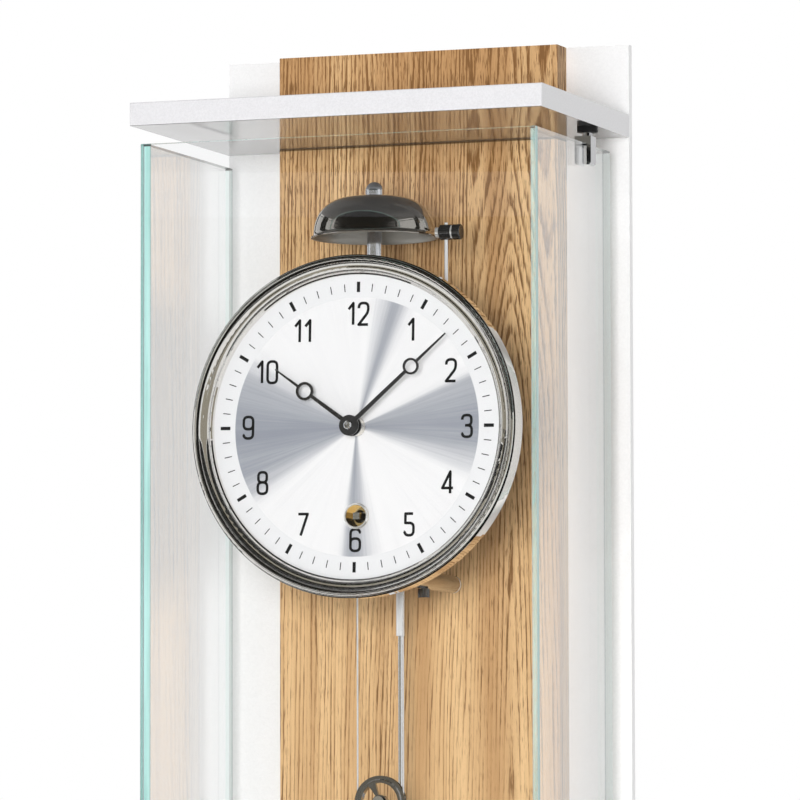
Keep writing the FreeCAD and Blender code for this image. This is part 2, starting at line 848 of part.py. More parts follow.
def drilled(plate, y0, y1):
    """A plate with its pivot, post and barrel holes."""
    for x, z in train_places():
        plate = plate.cut(rod_y(x, z, pivot_radius + pivot_clear, y0, y1))
    for x, z in plate_post_places():
        plate = plate.cut(rod_y(x, z, plate_post_tenon / 2, y0, y1))
    return plate.cut(rod_y(*barrel_place, winding_arbor_radius + pivot_clear, y0, y1))


def front_plate():
    """The plate behind the dial pan, with the minute wheel's stud and the centre arbor's clearance."""
    plate = drilled(plate_outline(front_plate_front, front_plate_back), front_plate_front, front_plate_back)
    plate = plate.cut(rod_y(*centre_place, arbor_radius + pivot_clear, front_plate_front, front_plate_back))
    plate = plate.cut(rod_y(*cable_post_place, plate_post_tenon / 2, front_plate_front, front_plate_back))
    stud = rod_y(*minute_wheel_place, minute_stud_radius, hour_wheel_front - layer_gap, front_plate_back)
    collar = rod_y(*minute_wheel_place, minute_stud_radius + 1, minute_wheel_back + fit_clear,
                   front_plate_front)
    return joined([plate, collar, stud])


def back_plate():
    """The plate at the movement's back."""
    return drilled(plate_outline(back_plate_front, back_plate_back), back_plate_front, back_plate_back)


def plate_posts():
    """Posts between the plates, and the post that holds the cable's end."""
    posts = []
    for x, z in plate_post_places():
        body = rod_y(x, z, plate_post_diameter / 2, front_plate_back, back_plate_front)
        tenon = rod_y(x, z, plate_post_tenon / 2, front_plate_front - plate_nut_height,
                      back_plate_back + plate_nut_height)
        posts.append(joined([body, tenon]))
    x, z = cable_post_place
    body = rod_y(x, z, cable_post_radius, front_plate_back, cable_y + cable_post_past)
    tenon = rod_y(x, z, plate_post_tenon / 2, front_plate_front, front_plate_back)
    eye = rod_z(x, cable_y, cable_diameter / 2 + cable_gap, z - cable_post_radius, z)
    posts.append(joined([body, tenon]).cut(eye))
    return Part.Compound(posts)


def hexagon(x, z, across, y0, y1):
    """A six-sided prism along Y."""
    corner = across / math.sqrt(3)
    return prism_y([polar(corner, 60.0 * n, x, z) for n in range(6)], y0, y1)


def plate_nuts():
    """Nuts on the posts' ends."""
    nuts = []
    bore = plate_post_tenon / 2 + plate_nut_fit
    for x, z in plate_post_places():
        for y0, y1 in ((front_plate_front - plate_nut_height, front_plate_front),
                       (back_plate_back, back_plate_back + plate_nut_height)):
            nuts.append(hexagon(x, z, plate_nut_across, y0, y1).cut(rod_y(x, z, bore, y0, y1)))
    return Part.Compound(nuts)


def movement_feet():
    """Feet that carry the movement on the pan's back."""
    radius = foot_diameter / 2
    return Part.Compound([rod_y(x, z, radius, pan_back, front_plate_front) for x, z in foot_places()])


# Barrel, winding and great wheel
def barrel():
    """The cable barrel with its flanges and the ratchet teeth at its back."""
    core = barrel_front + barrel_flange
    core_end = core + barrel_width
    profile = [(winding_arbor_radius, barrel_front), (barrel_flange_radius, barrel_front),
               (barrel_flange_radius, core), (barrel_core_radius, core), (barrel_core_radius, core_end),
               (barrel_flange_radius, core_end), (barrel_flange_radius, barrel_back),
               (winding_arbor_radius, barrel_back)]
    drum = turned_y(profile, *barrel_place)
    step = 360.0 / ratchet_teeth
    points = []
    for tooth in range(ratchet_teeth):
        points.append(polar(ratchet_radius, tooth * step, *barrel_place))
        points.append(polar(ratchet_radius - ratchet_tooth, (tooth + 0.12) * step, *barrel_place))
    ratchet = prism_y(points, barrel_back, ratchet_back).cut(
        rod_y(*barrel_place, winding_arbor_radius, barrel_back, ratchet_back))
    return joined([drum, ratchet])


def winding_arbor():
    """The arbor through both plates, squared at the front for the key."""
    x, z = barrel_place
    square_front = dial_front - grommet_lip + winding_end_behind_grommet
    square_back = square_front + winding_square_length
    half = winding_square / 2
    square = block(x - half, x + half, square_front, square_back, z - half, z + half)
    return joined([rod_y(x, z, winding_arbor_radius, square_back, back_plate_back), square])


def biarc(p0, t0, p1, t1):
    """Two arcs that leave p0 along t0 and reach p1 along t1."""
    v = p1 - p0
    t = t0 + t1
    spread = 2 * (1 - t0.dot(t1))
    vt = v.dot(t)
    d = (-vt + math.sqrt(vt * vt + spread * v.dot(v))) / spread
    joint = (p0 + p1 + (t0 - t1) * d) * 0.5
    return [tangent_arc(p0, t0, joint), tangent_arc(p1, t1 * -1, joint, True)]


def tangent_arc(start, way, end, reverse=False):
    """An arc from start along way to end."""
    chord = end - start
    across = chord - way * chord.dot(way)
    across.normalize()
    radius = chord.dot(chord) / (2 * chord.dot(across))
    centre = start + across * radius
    middle = (start + end) * 0.5 - centre
    middle.normalize()
    point = centre + middle * radius
    return arc(end, point, start) if reverse else arc(start, point, end)


def helix_point(turn):
    """A place on the wound cable and its direction, counted back in turns from where it leaves the barrel."""
    angle = 2 * math.pi * turn
    rise = winding_pitch / (2 * math.pi)
    x, z = barrel_place
    point = Vector(x + cable_line_radius * math.cos(angle), cable_y - winding_pitch * turn,
                   z + cable_line_radius * math.sin(angle))
    way = Vector(-cable_line_radius * math.sin(angle), -rise, cable_line_radius * math.cos(angle))
    way.normalize()
    return point, way


def tube(edges, start, way, radius):
    """A round tube along a path."""
    ring = Part.Wire(Part.makeCircle(radius, start, way))
    return Part.Wire(edges).makePipeShell([ring], True, False)


def cable_winding():
    """The turns on the barrel, one unbroken tube, a quarter turn to each pair of arcs."""
    quarters = 4 * winding_turns
    ends = [helix_point(n / 4) for n in range(quarters + 1)]
    edges = []
    for (p0, t0), (p1, t1) in zip(ends, ends[1:]):
        edges += biarc(p0, t0, p1, t1)
    radius = cable_diameter / 2 - cable_gap
    winding = tube(edges, ends[0][0], ends[0][1], radius)
    length = sum(e.Length for e in edges)
    points = [p for e in edges for p in e.discretize(8)[:-1]]
    half_turn = len(points) // (2 * winding_turns)
    nearest = min(a.distanceToPoint(b) for n, a in enumerate(points) for b in points[n + half_turn:])
    print("winding length", round(length, 1), "least gap to itself", round(nearest - 2 * radius, 3),
          "volume over section times length", round(winding.Volume / (math.pi * radius ** 2 * length), 4))
    return winding


def great_wheel():
    """The great wheel, which runs free on the winding arbor and carries the click."""
    return train_wheel(great_teeth, great_module, great_phase, barrel_place, great_front, great_back,
                       winding_arbor_radius + fit_clear, 6)


def click():
    """The pawl on the great wheel, held just off the ratchet's teeth."""
    radius = ratchet_radius + click_gap + click_width / 2
    half = click_width / 2
    x, z = barrel_place
    lean = math.degrees(click_length / radius)
    inner = [polar(radius - half, a, x, z) for a in (0.0, lean / 2, lean)]
    outer = [polar(radius + half, a, x, z) for a in (lean, lean / 2, 0.0)]
    return prism_y(inner + outer, great_front - click_thickness, great_front)


# Going train
def pinion_arbor(place, teeth, module, phase, wheel_y, thickness):
    """An arbor with its pinion, a little longer than the wheel that drives it."""
    x, z = place
    pinion = toothed_disc(teeth, module, phase, x, z, wheel_y - pinion_extra,
                          wheel_y + thickness + pinion_extra)
    return joined([arbor(place), pinion])


def intermediate_arbor():
    """The arbor that the great wheel turns."""
    return pinion_arbor(intermediate_place, intermediate_pinion_teeth, great_module, intermediate_pinion_phase,
                        great_front, great_wheel_thickness)


def centre_arbor():
    """The arbor of one turn an hour, drawn out through the front plate to carry the cannon pinion."""
    x, z = centre_place
    body = pinion_arbor(centre_place, centre_pinion_teeth, intermediate_module, centre_pinion_phase,
                        intermediate_y, wheel_thickness)
    tip = minute_hand_front - hand_nut_height / 2
    return joined([body, rod_y(x, z, arbor_radius, tip, front_plate_back + 1)])


def third_arbor():
    """The arbor that the centre wheel turns."""
    return pinion_arbor(third_place, third_pinion_teeth, centre_module, third_pinion_phase,
                        centre_wheel_y, wheel_thickness)


def escape_arbor():
    """The arbor that the third wheel turns."""
    return pinion_arbor(escape_place, escape_pinion_teeth, third_module, escape_pinion_phase,
                        third_wheel_y, wheel_thickness)


def escape_wheel():
    """The escape wheel, with pointed teeth that lean one way."""
    x, z = escape_place
    step = 360.0 / escape_teeth
    y0 = escape_wheel_y
    y1 = y0 + wheel_thickness
    points = []
    for tooth in range(escape_teeth):
        turn = tooth * step
        points.append(polar(escape_radius - escape_tooth_depth, turn - 0.42 * step, x, z))
        points.append(polar(escape_radius, turn - 0.06 * step, x, z))
        points.append(polar(escape_radius, turn, x, z))
        points.append(polar(escape_radius - escape_tooth_depth, turn + 0.18 * step, x, z))
    disc = prism_y(points, y0, y1)
    disc = crossed(disc, escape_radius - escape_tooth_depth - rim_width / 2, hub_radius, 4, spoke_width, 0.0,
                   x, z, y0, y1)
    return disc.cut(rod_y(x, z, arbor_radius, y0, y1))


def anchor():
    """The anchor over the escape wheel, its pallets held clear of the teeth through the whole swing."""
    ex, ez = escape_place
    ax, az = anchor_place
    inner = escape_radius + pallet_clear
    outer = inner + pallet_length
    y0 = escape_wheel_y
    y1 = y0 + anchor_thickness
    arms = []
    for side in (-1, 1):
        middle = 90.0 - side * pallet_span_deg
        lean = math.degrees(anchor_width / 2 / inner)
        pallet = [polar(inner, middle - lean, ex, ez), polar(inner, middle + lean, ex, ez),
                  polar(outer, middle + lean, ex, ez), polar(outer, middle - lean, ex, ez)]
        tip = polar((inner + outer) / 2, middle, ex, ez)
        way = Vector(tip[0] - ax, 0, tip[1] - az)
        way.normalize()
        across = Vector(-way.z, 0, way.x) * (anchor_width / 2)
        arm = [(ax + across.x, az + across.z), (ax - across.x, az - across.z),
               (tip[0] - across.x, tip[1] - across.z), (tip[0] + across.x, tip[1] + across.z)]
        arms += [prism_y(pallet, y0, y1), prism_y(arm, y0, y1)]
    body = joined(arms + [rod_y(ax, az, hub_radius, y0, y1)])
    return body.cut(rod_y(ax, az, arbor_radius, y0, y1))


def crutch():
    """The anchor's arbor, with the crutch behind the back plate that forks round the pendulum's sleeve."""
    x, z = anchor_place
    y0 = back_plate_back + crutch_behind_plate
    y1 = y0 + crutch_thickness
    half = crutch_width / 2
    low = z - crutch_reach
    strip = block(x - half, x + half, y0, y1, low, z)
    hub = rod_y(x, z, crutch_hub_radius, y0, y1)
    neck = rod_y(x, z, pivot_radius, back_plate_back, y1)
    slot = sleeve_diameter / 2 + crutch_fork_clear
    wall = slot + crutch_fork_wall
    fork = block(x - wall, x + wall, y0, pendulum_y + sleeve_diameter / 2, low - half, low + half)
    gap = block(x - slot, x + slot, pendulum_y - slot, pendulum_y + sleeve_diameter, low - crutch_width,
                low + crutch_width)
    return joined([arbor(anchor_place), neck, hub, strip, fork.cut(gap)])


# Motion work and hands
def cannon_pinion():
    """The pipe that carries the minute hand, with its pinion and the cam that lifts the hammer each hour."""
    x, z = centre_place
    pipe = rod_y(x, z, cannon_outer_radius, minute_hand_front, cam_back)
    pinion = toothed_disc(cannon_teeth, cannon_module, cannon_phase, x, z, minute_wheel_front - layer_gap / 2,
                          minute_wheel_back + layer_gap)
    disc = rod_y(x, z, cam_radius, cam_front, cam_back)
    lobe = window(cannon_outer_radius / 2, cam_lobe_radius, 60.0, 120.0, x, z, cam_front, cam_back)
    return joined([pipe, pinion, disc, lobe]).cut(
        rod_y(x, z, arbor_radius + fit_clear, minute_hand_front, cam_back))


def minute_wheel():
    """The wheel and pinion between the cannon pinion and the hour wheel."""
    x, z = minute_wheel_place
    wheel = toothed_disc(minute_wheel_teeth, cannon_module, minute_wheel_phase, x, z,
                         minute_wheel_front, minute_wheel_back)
    pinion = toothed_disc(minute_pinion_teeth, hour_module, minute_pinion_phase, x, z,
                          hour_wheel_front, minute_wheel_front)
    return joined([wheel, pinion]).cut(rod_y(x, z, minute_stud_radius + fit_clear, hour_wheel_front,
                                             minute_wheel_back))


def hour_wheel():
    """The hour wheel with the pipe that carries the hour hand."""
    x, z = centre_place
    wheel = toothed_disc(hour_wheel_teeth, hour_module, hour_wheel_phase, x, z, hour_wheel_front,
                         hour_wheel_back)
    pipe = rod_y(x, z, hour_pipe_radius, hour_hand_front, hour_wheel_back)
    return joined([wheel, pipe]).cut(rod_y(x, z, cannon_outer_radius + pipe_clear, hour_hand_front,
                                           hour_wheel_back))


def clock_hand(front, angle, length, ring_at, ring_outer, ring_inner, bore):
    """A slim hand with a ring near its tip, pointing at an angle from 12."""
    back = front + hand_thickness
    root = hand_root_width / 2
    neck = hand_neck_width / 2
    tip = hand_tip_width / 2
    stem = [(-root, 0), (root, 0), (neck, ring_at), (-neck, ring_at)]
    point = [(-neck, ring_at), (neck, ring_at), (tip, length), (-tip, length)]
    ring = rod_y(0, ring_at, ring_outer, front, back)
    hub = rod_y(0, 0, hand_hub_radius, front, back)
    hand = joined([prism_y(stem, front, back), prism_y(point, front, back), ring, hub])
    hand = hand.cut(rod_y(0, ring_at, ring_inner, front, back)).cut(rod_y(0, 0, bore, front, back))
    hand.rotate(Vector(0, 0, 0), Vector(0, 1, 0), angle)
    return hand


def hour_hand():
    """The hour hand, behind, with the collet that stands it off the dial."""
    hand = clock_hand(hour_hand_front, hour_hand_angle, hour_hand_length, hour_ring_at, hour_ring_outer,
                      hour_ring_inner, hour_pipe_radius)
    back = hour_hand_front + hand_thickness
    end = dial_front - hour_collet_gap
    collet = rod_y(*centre_place, hour_collet_radius, back, end)
    return joined([hand, collet.cut(rod_y(*centre_place, hour_pipe_radius, back, end))])


def minute_hand():
    """The minute hand, in front."""
    return clock_hand(minute_hand_front, minute_hand_angle, minute_hand_length, minute_ring_at,
                      minute_ring_outer, minute_ring_inner, cannon_outer_radius)


def hand_nut():
    """The round nut that holds the minute hand."""
    front = minute_hand_front - hand_nut_height
    bore = arbor_radius + fit_clear
    chamfer = 0.25 * hand_nut_height
    profile = [(bore, front), (hand_nut_radius - chamfer, front), (hand_nut_radius, front + chamfer),
               (hand_nut_radius, minute_hand_front), (bore, minute_hand_front)]
    return turned_y(profile, *centre_place)


# Bell and hammer
def bell():
    """A shallow bell with steep sides and a flared lip, turned about its post."""
    outer = bell_radius
    side = outer - bell_lip
    low = bell_rim + bell_lip_height
    shares = [(0.937, 0.355), (0.875, 0.585), (0.77, 0.772), (0.62, 0.906), (0.42, 0.98), (0.26, 1.0)]
    outside = [Vector(side, 0, low)]
    outside += [Vector(r * outer, 0, bell_rim + z * bell_height) for r, z in shares]
    before = outside[:1] + outside[:-1]
    after = outside[1:] + [outside[-1] - Vector(1, 0, 0)]
    inside = []
    for point, a, b in zip(outside, before, after):
        way = b - a
        way.normalize()
        inside.append(point - Vector(way.z, 0, -way.x) * bell_wall)
    inside[-1] = outside[-1] - Vector(0, 0, bell_wall)
    inside.reverse()
    hole = bell_post_neck / 2
    rim_out = Vector(outer, 0, bell_rim)
    rim_top = Vector(outer, 0, bell_rim + bell_wall / 2)
    rim_in = Vector(outer - 1.5 * bell_wall, 0, bell_rim)
    crown_top = Vector(hole, 0, bell_top)
    crown_under = Vector(hole, 0, bell_top - bell_wall)
    flare = (rim_top + outside[0]) * 0.5 + Vector(-0.2, 0, -0.2) * bell_lip
    flare_in = (rim_in + inside[-1]) * 0.5 + Vector(-0.1, 0, -0.1) * bell_lip
    edges = [line(rim_out, rim_top), arc(rim_top, flare, outside[0]), smooth(outside),
             line(outside[-1], crown_top), line(crown_top, crown_under), line(crown_under, inside[0]),
             smooth(inside), arc(inside[-1], flare_in, rim_in), line(rim_in, rim_out)]
    shape = turned_wire(edges, Vector(0, 0, 0), Vector(0, 0, 1))
    return shape.translated(Vector(0, bell_y, 0))


def bell_post():
    """The post that the bell stands on, with the bridge that joins it to both plates."""
    seat = bell_top - bell_wall
    bridge = block(-bridge_width / 2, bridge_width / 2, front_plate_back, back_plate_front,
                   plate_top - bridge_height, plate_top)
    post = rod_z(0, bell_y, bell_post_diameter / 2, plate_top, seat)
    neck = rod_z(0, bell_y, bell_post_neck / 2, seat, bell_top + finial_height / 2)
    return joined([bridge, post, neck])


def bell_finial():
    """The domed nut on top of the bell."""
    base = bell_top
    radius = finial_diameter / 2
    crown = base + finial_height
    straight = crown - radius
    slant = math.sqrt(0.5) * radius
    edges = [line(Vector(0, 0, base), Vector(radius, 0, base)),
             line(Vector(radius, 0, base), Vector(radius, 0, straight)),
             arc(Vector(radius, 0, straight), Vector(slant, 0, straight + slant), Vector(0, 0, crown)),
             line(Vector(0, 0, crown), Vector(0, 0, base))]
    nut = turned_wire(edges, Vector(0, 0, 0), Vector(0, 0, 1)).translated(Vector(0, bell_y, 0))
    return nut.cut(rod_z(0, bell_y, bell_post_neck / 2, base, base + finial_height / 2))


def hammer_arbor():
    """The hammer's arbor, with a hub for the rod and a tail that the cam lifts."""
    x, z = hammer_place
    hub = rod_y(x, z, hammer_hub_radius, bell_y - hammer_hub_length / 2, bell_y + hammer_hub_length / 2)
    tail_radius = cam_lobe_radius + hammer_tail_clear
    reach = math.hypot(x, z)
    unit = (x / reach, z / reach)
    half = hammer_tail_width / 2
    side = (-unit[1] * half, unit[0] * half)
    near = (unit[0] * tail_radius, unit[1] * tail_radius)
    outline = [(near[0] + side[0], near[1] + side[1]), (near[0] - side[0], near[1] - side[1]),
               (x - side[0], z - side[1]), (x + side[0], z + side[1])]
    back = front_plate_front - layer_gap
    front = back - hammer_tail_thickness
    tail = joined([prism_y(outline, front, back), rod_y(x, z, 2 * pivot_radius + 1, front, back)])
    neck = rod_y(x, z, pivot_radius, front, front_plate_back)
    seat = rod_z(x, bell_y, hammer_rod_diameter / 2, z, z + 2 * hammer_hub_radius)
    lean = math.degrees(math.atan2(hammer_rod_x - x, hammer_rod_bend_z - z))
    seat.rotate(Vector(x, bell_y, z), Vector(0, 1, 0), lean)
    return joined([arbor(hammer_place), hub, tail, neck]).cut(seat)


def hammer_rod():
    """The bent rod from the hub up through the hammer's head."""
    x, z = hammer_place
    start = Vector(x, bell_y, z)
    bend = Vector(hammer_rod_x, bell_y, hammer_rod_bend_z)
    top = Vector(hammer_rod_x, bell_y, hammer_head_z + hammer_head_diameter / 2 + hammer_rod_over)
    way = bend - start
    way.normalize()
    up = Vector(0, 0, 1)
    turn = math.acos(way.dot(up))
    cut = hammer_rod_bend_radius * math.tan(turn / 2)
    before = bend - way * cut
    after = bend + up * cut
    inward = up - way
    inward.normalize()
    centre = bend + inward * (hammer_rod_bend_radius / math.cos(turn / 2))
    middle = centre - inward * hammer_rod_bend_radius
    return tube([line(start, before), arc(before, middle, after), line(after, top)], start, way,
                hammer_rod_diameter / 2)


def hammer_head():
    """The hammer's head: a round bar with a narrow tip towards the bell and a groove at its other end."""
    z = hammer_head_z
    radius = hammer_head_diameter / 2
    x0 = hammer_head_x
    x1 = x0 + hammer_head_length
    tip = 0.16 * hammer_head_length
    groove = 0.6 * hammer_head_length
    groove_end = 0.7 * hammer_head_length
    chamfer = 0.1 * radius
    outline = [(x0, 0), (x0, 0.72 * radius), (x0 + tip, 0.72 * radius), (x0 + tip, radius - chamfer),
               (x0 + tip + chamfer, radius), (x0 + groove, radius), (x0 + groove, 0.9 * radius),
               (x0 + groove_end, 0.9 * radius), (x0 + groove_end, radius), (x1 - chamfer, radius),
               (x1, radius - chamfer), (x1, 0)]
    corners = [Vector(x, bell_y, z + r) for x, r in outline]
    corners.append(corners[0])
    head = Part.Face(Part.makePolygon(corners)).revolve(Vector(0, bell_y, z), Vector(1, 0, 0), 360)
    return head.cut(rod_z(hammer_rod_x, bell_y, hammer_rod_diameter / 2, z - hammer_head_diameter,
                          z + hammer_head_diameter))


# Pendulum
def suspension_cock():
    """The bracket behind the back plate whose two cheeks carry the suspension pin."""
    half = cock_width / 2
    under = suspension_z + crutch_hub_radius + 1.0
    top = suspension_z + cock_height
    inner_front = pendulum_y - cock_gap / 2
    inner_back = pendulum_y + cock_gap / 2
    rear = inner_back + cock_cheek
    arm = block(-half, half, back_plate_back, rear, under, top)
    arm = arm.cut(block(-half, half, inner_front, inner_back, under, under + (top - under) / 2))
    low = suspension_z - cock_below_axis
    cheeks = [block(-half, half, inner_front - cock_cheek, inner_front, low, under),
              block(-half, half, inner_back, rear, low, under)]
    cock = joined([arm] + cheeks)
    return cock.cut(rod_y(0, suspension_z, suspension_pin_radius + pivot_clear, inner_front - cock_cheek, rear))


def suspension_spring():
    """The suspension: a cross pin, a block, the thin spring and the lower block on the sleeve."""
    pin_front = pendulum_y - cock_gap / 2 - cock_cheek
    pin_back = pendulum_y + cock_gap / 2 + cock_cheek
    pin = rod_y(0, suspension_z, suspension_pin_radius, pin_front, pin_back)
    depth = cock_gap / 2 - end_shake
    half_h = spring_block_height / 2
    half_w = spring_block_width / 2
    upper = block(-half_w, half_w, pendulum_y - depth, pendulum_y + depth, suspension_z - half_h,
                  suspension_z + half_h)
    low = suspension_z - spring_length
    leaf = block(-spring_thickness / 2, spring_thickness / 2, pendulum_y - spring_width / 2,
                 pendulum_y + spring_width / 2, low, suspension_z)
    lower = block(-half_w, half_w, pendulum_y - depth, pendulum_y + depth, low - half_h, low + half_h)
    return joined([pin, upper, leaf, lower])


def sleeve_top():
    """The height where the sleeve meets the suspension's lower block."""
    return suspension_z - spring_length - spring_block_height / 2


def pendulum_sleeve():
    """The tube from the suspension down to the rod."""
    body = rod_z(0, pendulum_y, sleeve_diameter / 2, sleeve_bottom, sleeve_top())
    seat = rod_z(0, pendulum_y, pendulum_rod_diameter / 2, sleeve_bottom, sleeve_bottom + rod_in_sleeve)
    return body.cut(seat)


def pendulum_rod():
    """The rod from the sleeve down through the bob."""
    return rod_z(0, pendulum_y, pendulum_rod_diameter / 2, rod_end_z, sleeve_bottom + rod_in_sleeve)


def pendulum_bob():
    """A lens-shaped bob with a flat edge, drilled for the rod."""
    z = bob_z
    half = bob_thickness / 2
    edge = bob_edge / 2
    rim_front = Vector(bob_radius, pendulum_y - edge, z)
    rim_back = Vector(bob_radius, pendulum_y + edge, z)
    front = Vector(0, pendulum_y - half, z)
    back = Vector(0, pendulum_y + half, z)
    rise = half - edge
    crown = (bob_radius ** 2 + rise ** 2) / (2 * rise)
    quarter = bob_radius / 2
    sag = crown - math.sqrt(crown ** 2 - quarter ** 2)
    edges = [arc(front, Vector(quarter, pendulum_y - half + sag, z), rim_front), line(rim_front, rim_back),
             arc(rim_back, Vector(quarter, pendulum_y + half - sag, z), back), line(back, front)]
    lens = turned_wire(edges, Vector(0, pendulum_y, z), Vector(0, 1, 0))
    hole = rod_z(0, pendulum_y, pendulum_rod_diameter / 2 + fit_clear, z - bob_radius, z + bob_radius)
    return lens.cut(hole)


def rating_nut():
    """The knurled nut under the bob."""
    top = bob_z - bob_radius
    nut = knurled(0, pendulum_y, rating_nut_diameter / 2, rating_nut_teeth, top - rating_nut_height, top)
    return nut.cut(rod_z(0, pendulum_y, pendulum_rod_diameter / 2 + fit_clear, top - rating_nut_height, top))


# Weight, pulley and cable
def pulley():
    """The spoked pulley with its cable groove, each side bevelled down to a thinner flange."""
    y0 = cable_y - pulley_width / 2
    y1 = cable_y + pulley_width / 2
    groove = pulley_line_radius - cable_diameter / 2 - cable_gap
    flat = cable_diameter / 2 + 3 * cable_gap
    bevel = pulley_bevel_width
    foot = pulley_bevel_inner + bevel
    front = [(0, y0), (pulley_bevel_inner, y0), (foot, y0 + bevel), (pulley_radius, y0 + bevel),
             (pulley_radius, y0 + bevel + 0.4), (groove, cable_y - flat)]
    profile = front + [(r, 2 * cable_y - y) for r, y in reversed(front)]
    disc = turned_y(profile, pulley_x, pulley_z)
    disc = crossed(disc, pulley_rim_inner, pulley_hub_radius, pulley_spokes, pulley_spoke_width,
                   pulley_first_spoke_deg, pulley_x, pulley_z, y0, y1)
    web = (pulley_width - pulley_spoke_thickness) / 2
    for a, b in ((y0, y0 + web), (y1 - web, y1)):
        ring = rod_y(pulley_x, pulley_z, pulley_rim_inner, a, b).cut(
            rod_y(pulley_x, pulley_z, pulley_hub_radius, a, b))
        disc = disc.cut(ring)
    return disc.cut(rod_y(pulley_x, pulley_z, axle_radius + fit_clear, y0, y1))


def stirrup():
    """The fork that carries the pulley's axle, with a bridge below."""
    inner = pulley_width / 2 + stirrup_side_gap
    outer = inner + stirrup_cheek
    low = pulley_z - stirrup_below_axle
    half = stirrup_width / 2
    cheeks = []
    for a, b in ((cable_y - outer, cable_y - inner), (cable_y + inner, cable_y + outer)):
        cheeks.append(block(pulley_x - half, pulley_x + half, a, b, low, pulley_z))
        cheeks.append(rod_y(pulley_x, pulley_z, half, a, b))
    bridge = block(pulley_x - half, pulley_x + half, cable_y - outer, cable_y + outer,
                   low - stirrup_bridge, low)
    axle = rod_y(pulley_x, pulley_z, axle_radius, cable_y - outer, cable_y + outer)
    return joined(cheeks + [bridge, axle])


def weight():
    """The round driving weight with its caps and stem."""
    stem_top = pulley_z - stirrup_below_axle - stirrup_bridge
    top = stem_top - weight_stem_length
    radius = weight_diameter / 2
    cap = radius + weight_cap_overhang
    bottom = top - weight_length
    round_off = weight_cap_height / 3
    profile = [(0, stem_top), (weight_stem_diameter / 2, stem_top), (weight_stem_diameter / 2, top),
               (cap - round_off, top), (cap, top - round_off), (cap, top - weight_cap_height),
               (radius, top - weight_cap_height), (radius, bottom + weight_cap_height),
               (cap, bottom + weight_cap_height), (cap, bottom + round_off), (cap - round_off, bottom),
               (0, bottom)]
    corners = [Vector(pulley_x + r, cable_y, z) for r, z in profile]
    corners.append(corners[0])
    return Part.Face(Part.makePolygon(corners)).revolve(Vector(pulley_x, cable_y, 0), Vector(0, 0, 1), 360)


def cable():
    """The cable from the barrel down, half round the pulley and up to its post."""
    right = pulley_x + pulley_line_radius
    left = pulley_x - pulley_line_radius
    start = Vector(right, cable_y, -arbor_drop)
    down = Vector(right, cable_y, pulley_z)
    under = Vector(pulley_x, cable_y, pulley_z - pulley_line_radius)
    up = Vector(left, cable_y, pulley_z)
    end = Vector(left, cable_y, cable_post_z)
    edges = [line(start, down), arc(down, under, up), line(up, end)]
    length = sum(e.Length for e in edges)
    radius = cable_diameter / 2 - cable_gap
    shape = tube(edges, start, Vector(0, 0, -1), radius)
    print("cable length", round(length, 1), "radius round the pulley", round(pulley_line_radius, 2),
          "volume over section times length", round(shape.Volume / (math.pi * radius ** 2 * length), 4))
    return shape


def main():
    """Build every piece and write it."""
    os.makedirs("parts", exist_ok=True)
    save("back_panel", back_panel())
    save("oak_board", oak_board())
    save("upper_shelf", shelf(upper_shelf_under, upper_shelf_under, 1))
    save("lower_shelf", shelf(lower_shelf_under, lower_shelf_top, -1))
    save("hanger_plate", hanger_plate())
    save("front_glass", front_glass())
    save("left_glass", side_glass(-1))
    save("right_glass", side_glass(1))
    save("hinge_bushes", Part.Compound([hinge_bush(face, way) for face, edge, way in hinge_ends()]))
    save("hinge_clamps", Part.Compound([hinge_clamp(face, edge, way) for face, edge, way in hinge_ends()]))
    save("hinge_pins", Part.Compound([hinge_pin(face, way) for face, edge, way in hinge_ends()]))
    for maker in (dial_pan, bezel, dial, winding_grommet, standoff_pillars, pillar_screws, thumbscrews,
                  front_plate, back_plate, plate_posts, plate_nuts, movement_feet,
                  barrel, winding_arbor, cable_winding, great_wheel, click,
                  intermediate_arbor, centre_arbor, third_arbor, escape_arbor, escape_wheel, anchor, crutch,
                  cannon_pinion, minute_wheel, hour_wheel, hour_hand, minute_hand, hand_nut,
                  bell, bell_post, bell_finial, hammer_arbor, hammer_rod, hammer_head,
                  suspension_cock, suspension_spring, pendulum_sleeve, pendulum_rod, pendulum_bob, rating_nut,
                  pulley, weight, cable):
        save(maker.__name__, maker(), dial_z)
    save("pulley_stirrup", stirrup(), dial_z)
    save("intermediate_wheel", train_wheel(intermediate_teeth, intermediate_module, intermediate_phase,
                                           intermediate_place, intermediate_y, intermediate_y + wheel_thickness,
                                           arbor_radius), dial_z)
    save("centre_wheel", train_wheel(centre_teeth, centre_module, centre_phase, centre_place, centre_wheel_y,
                                     centre_wheel_y + wheel_thickness, arbor_radius), dial_z)
    save("third_wheel", train_wheel(third_teeth, third_module, third_phase, third_place, third_wheel_y,
                                    third_wheel_y + wheel_thickness, arbor_radius), dial_z)


main()
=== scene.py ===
"""Looks of a regulator wall clock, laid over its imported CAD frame.

Metres, in the frame of the CAD model: X to the right, Y towards the wall, Z up, the origin at the hanging hole.
Sizes in the classes below are millimetres unless their name says otherwise.
"""

import functools
import logging
import math
from dataclasses import dataclass
from enum import Enum
from typing import Any, ClassVar, Mapping, Optional, Sequence, Union

import bpy
import numpy as np
from mathutils import Matrix, Vector


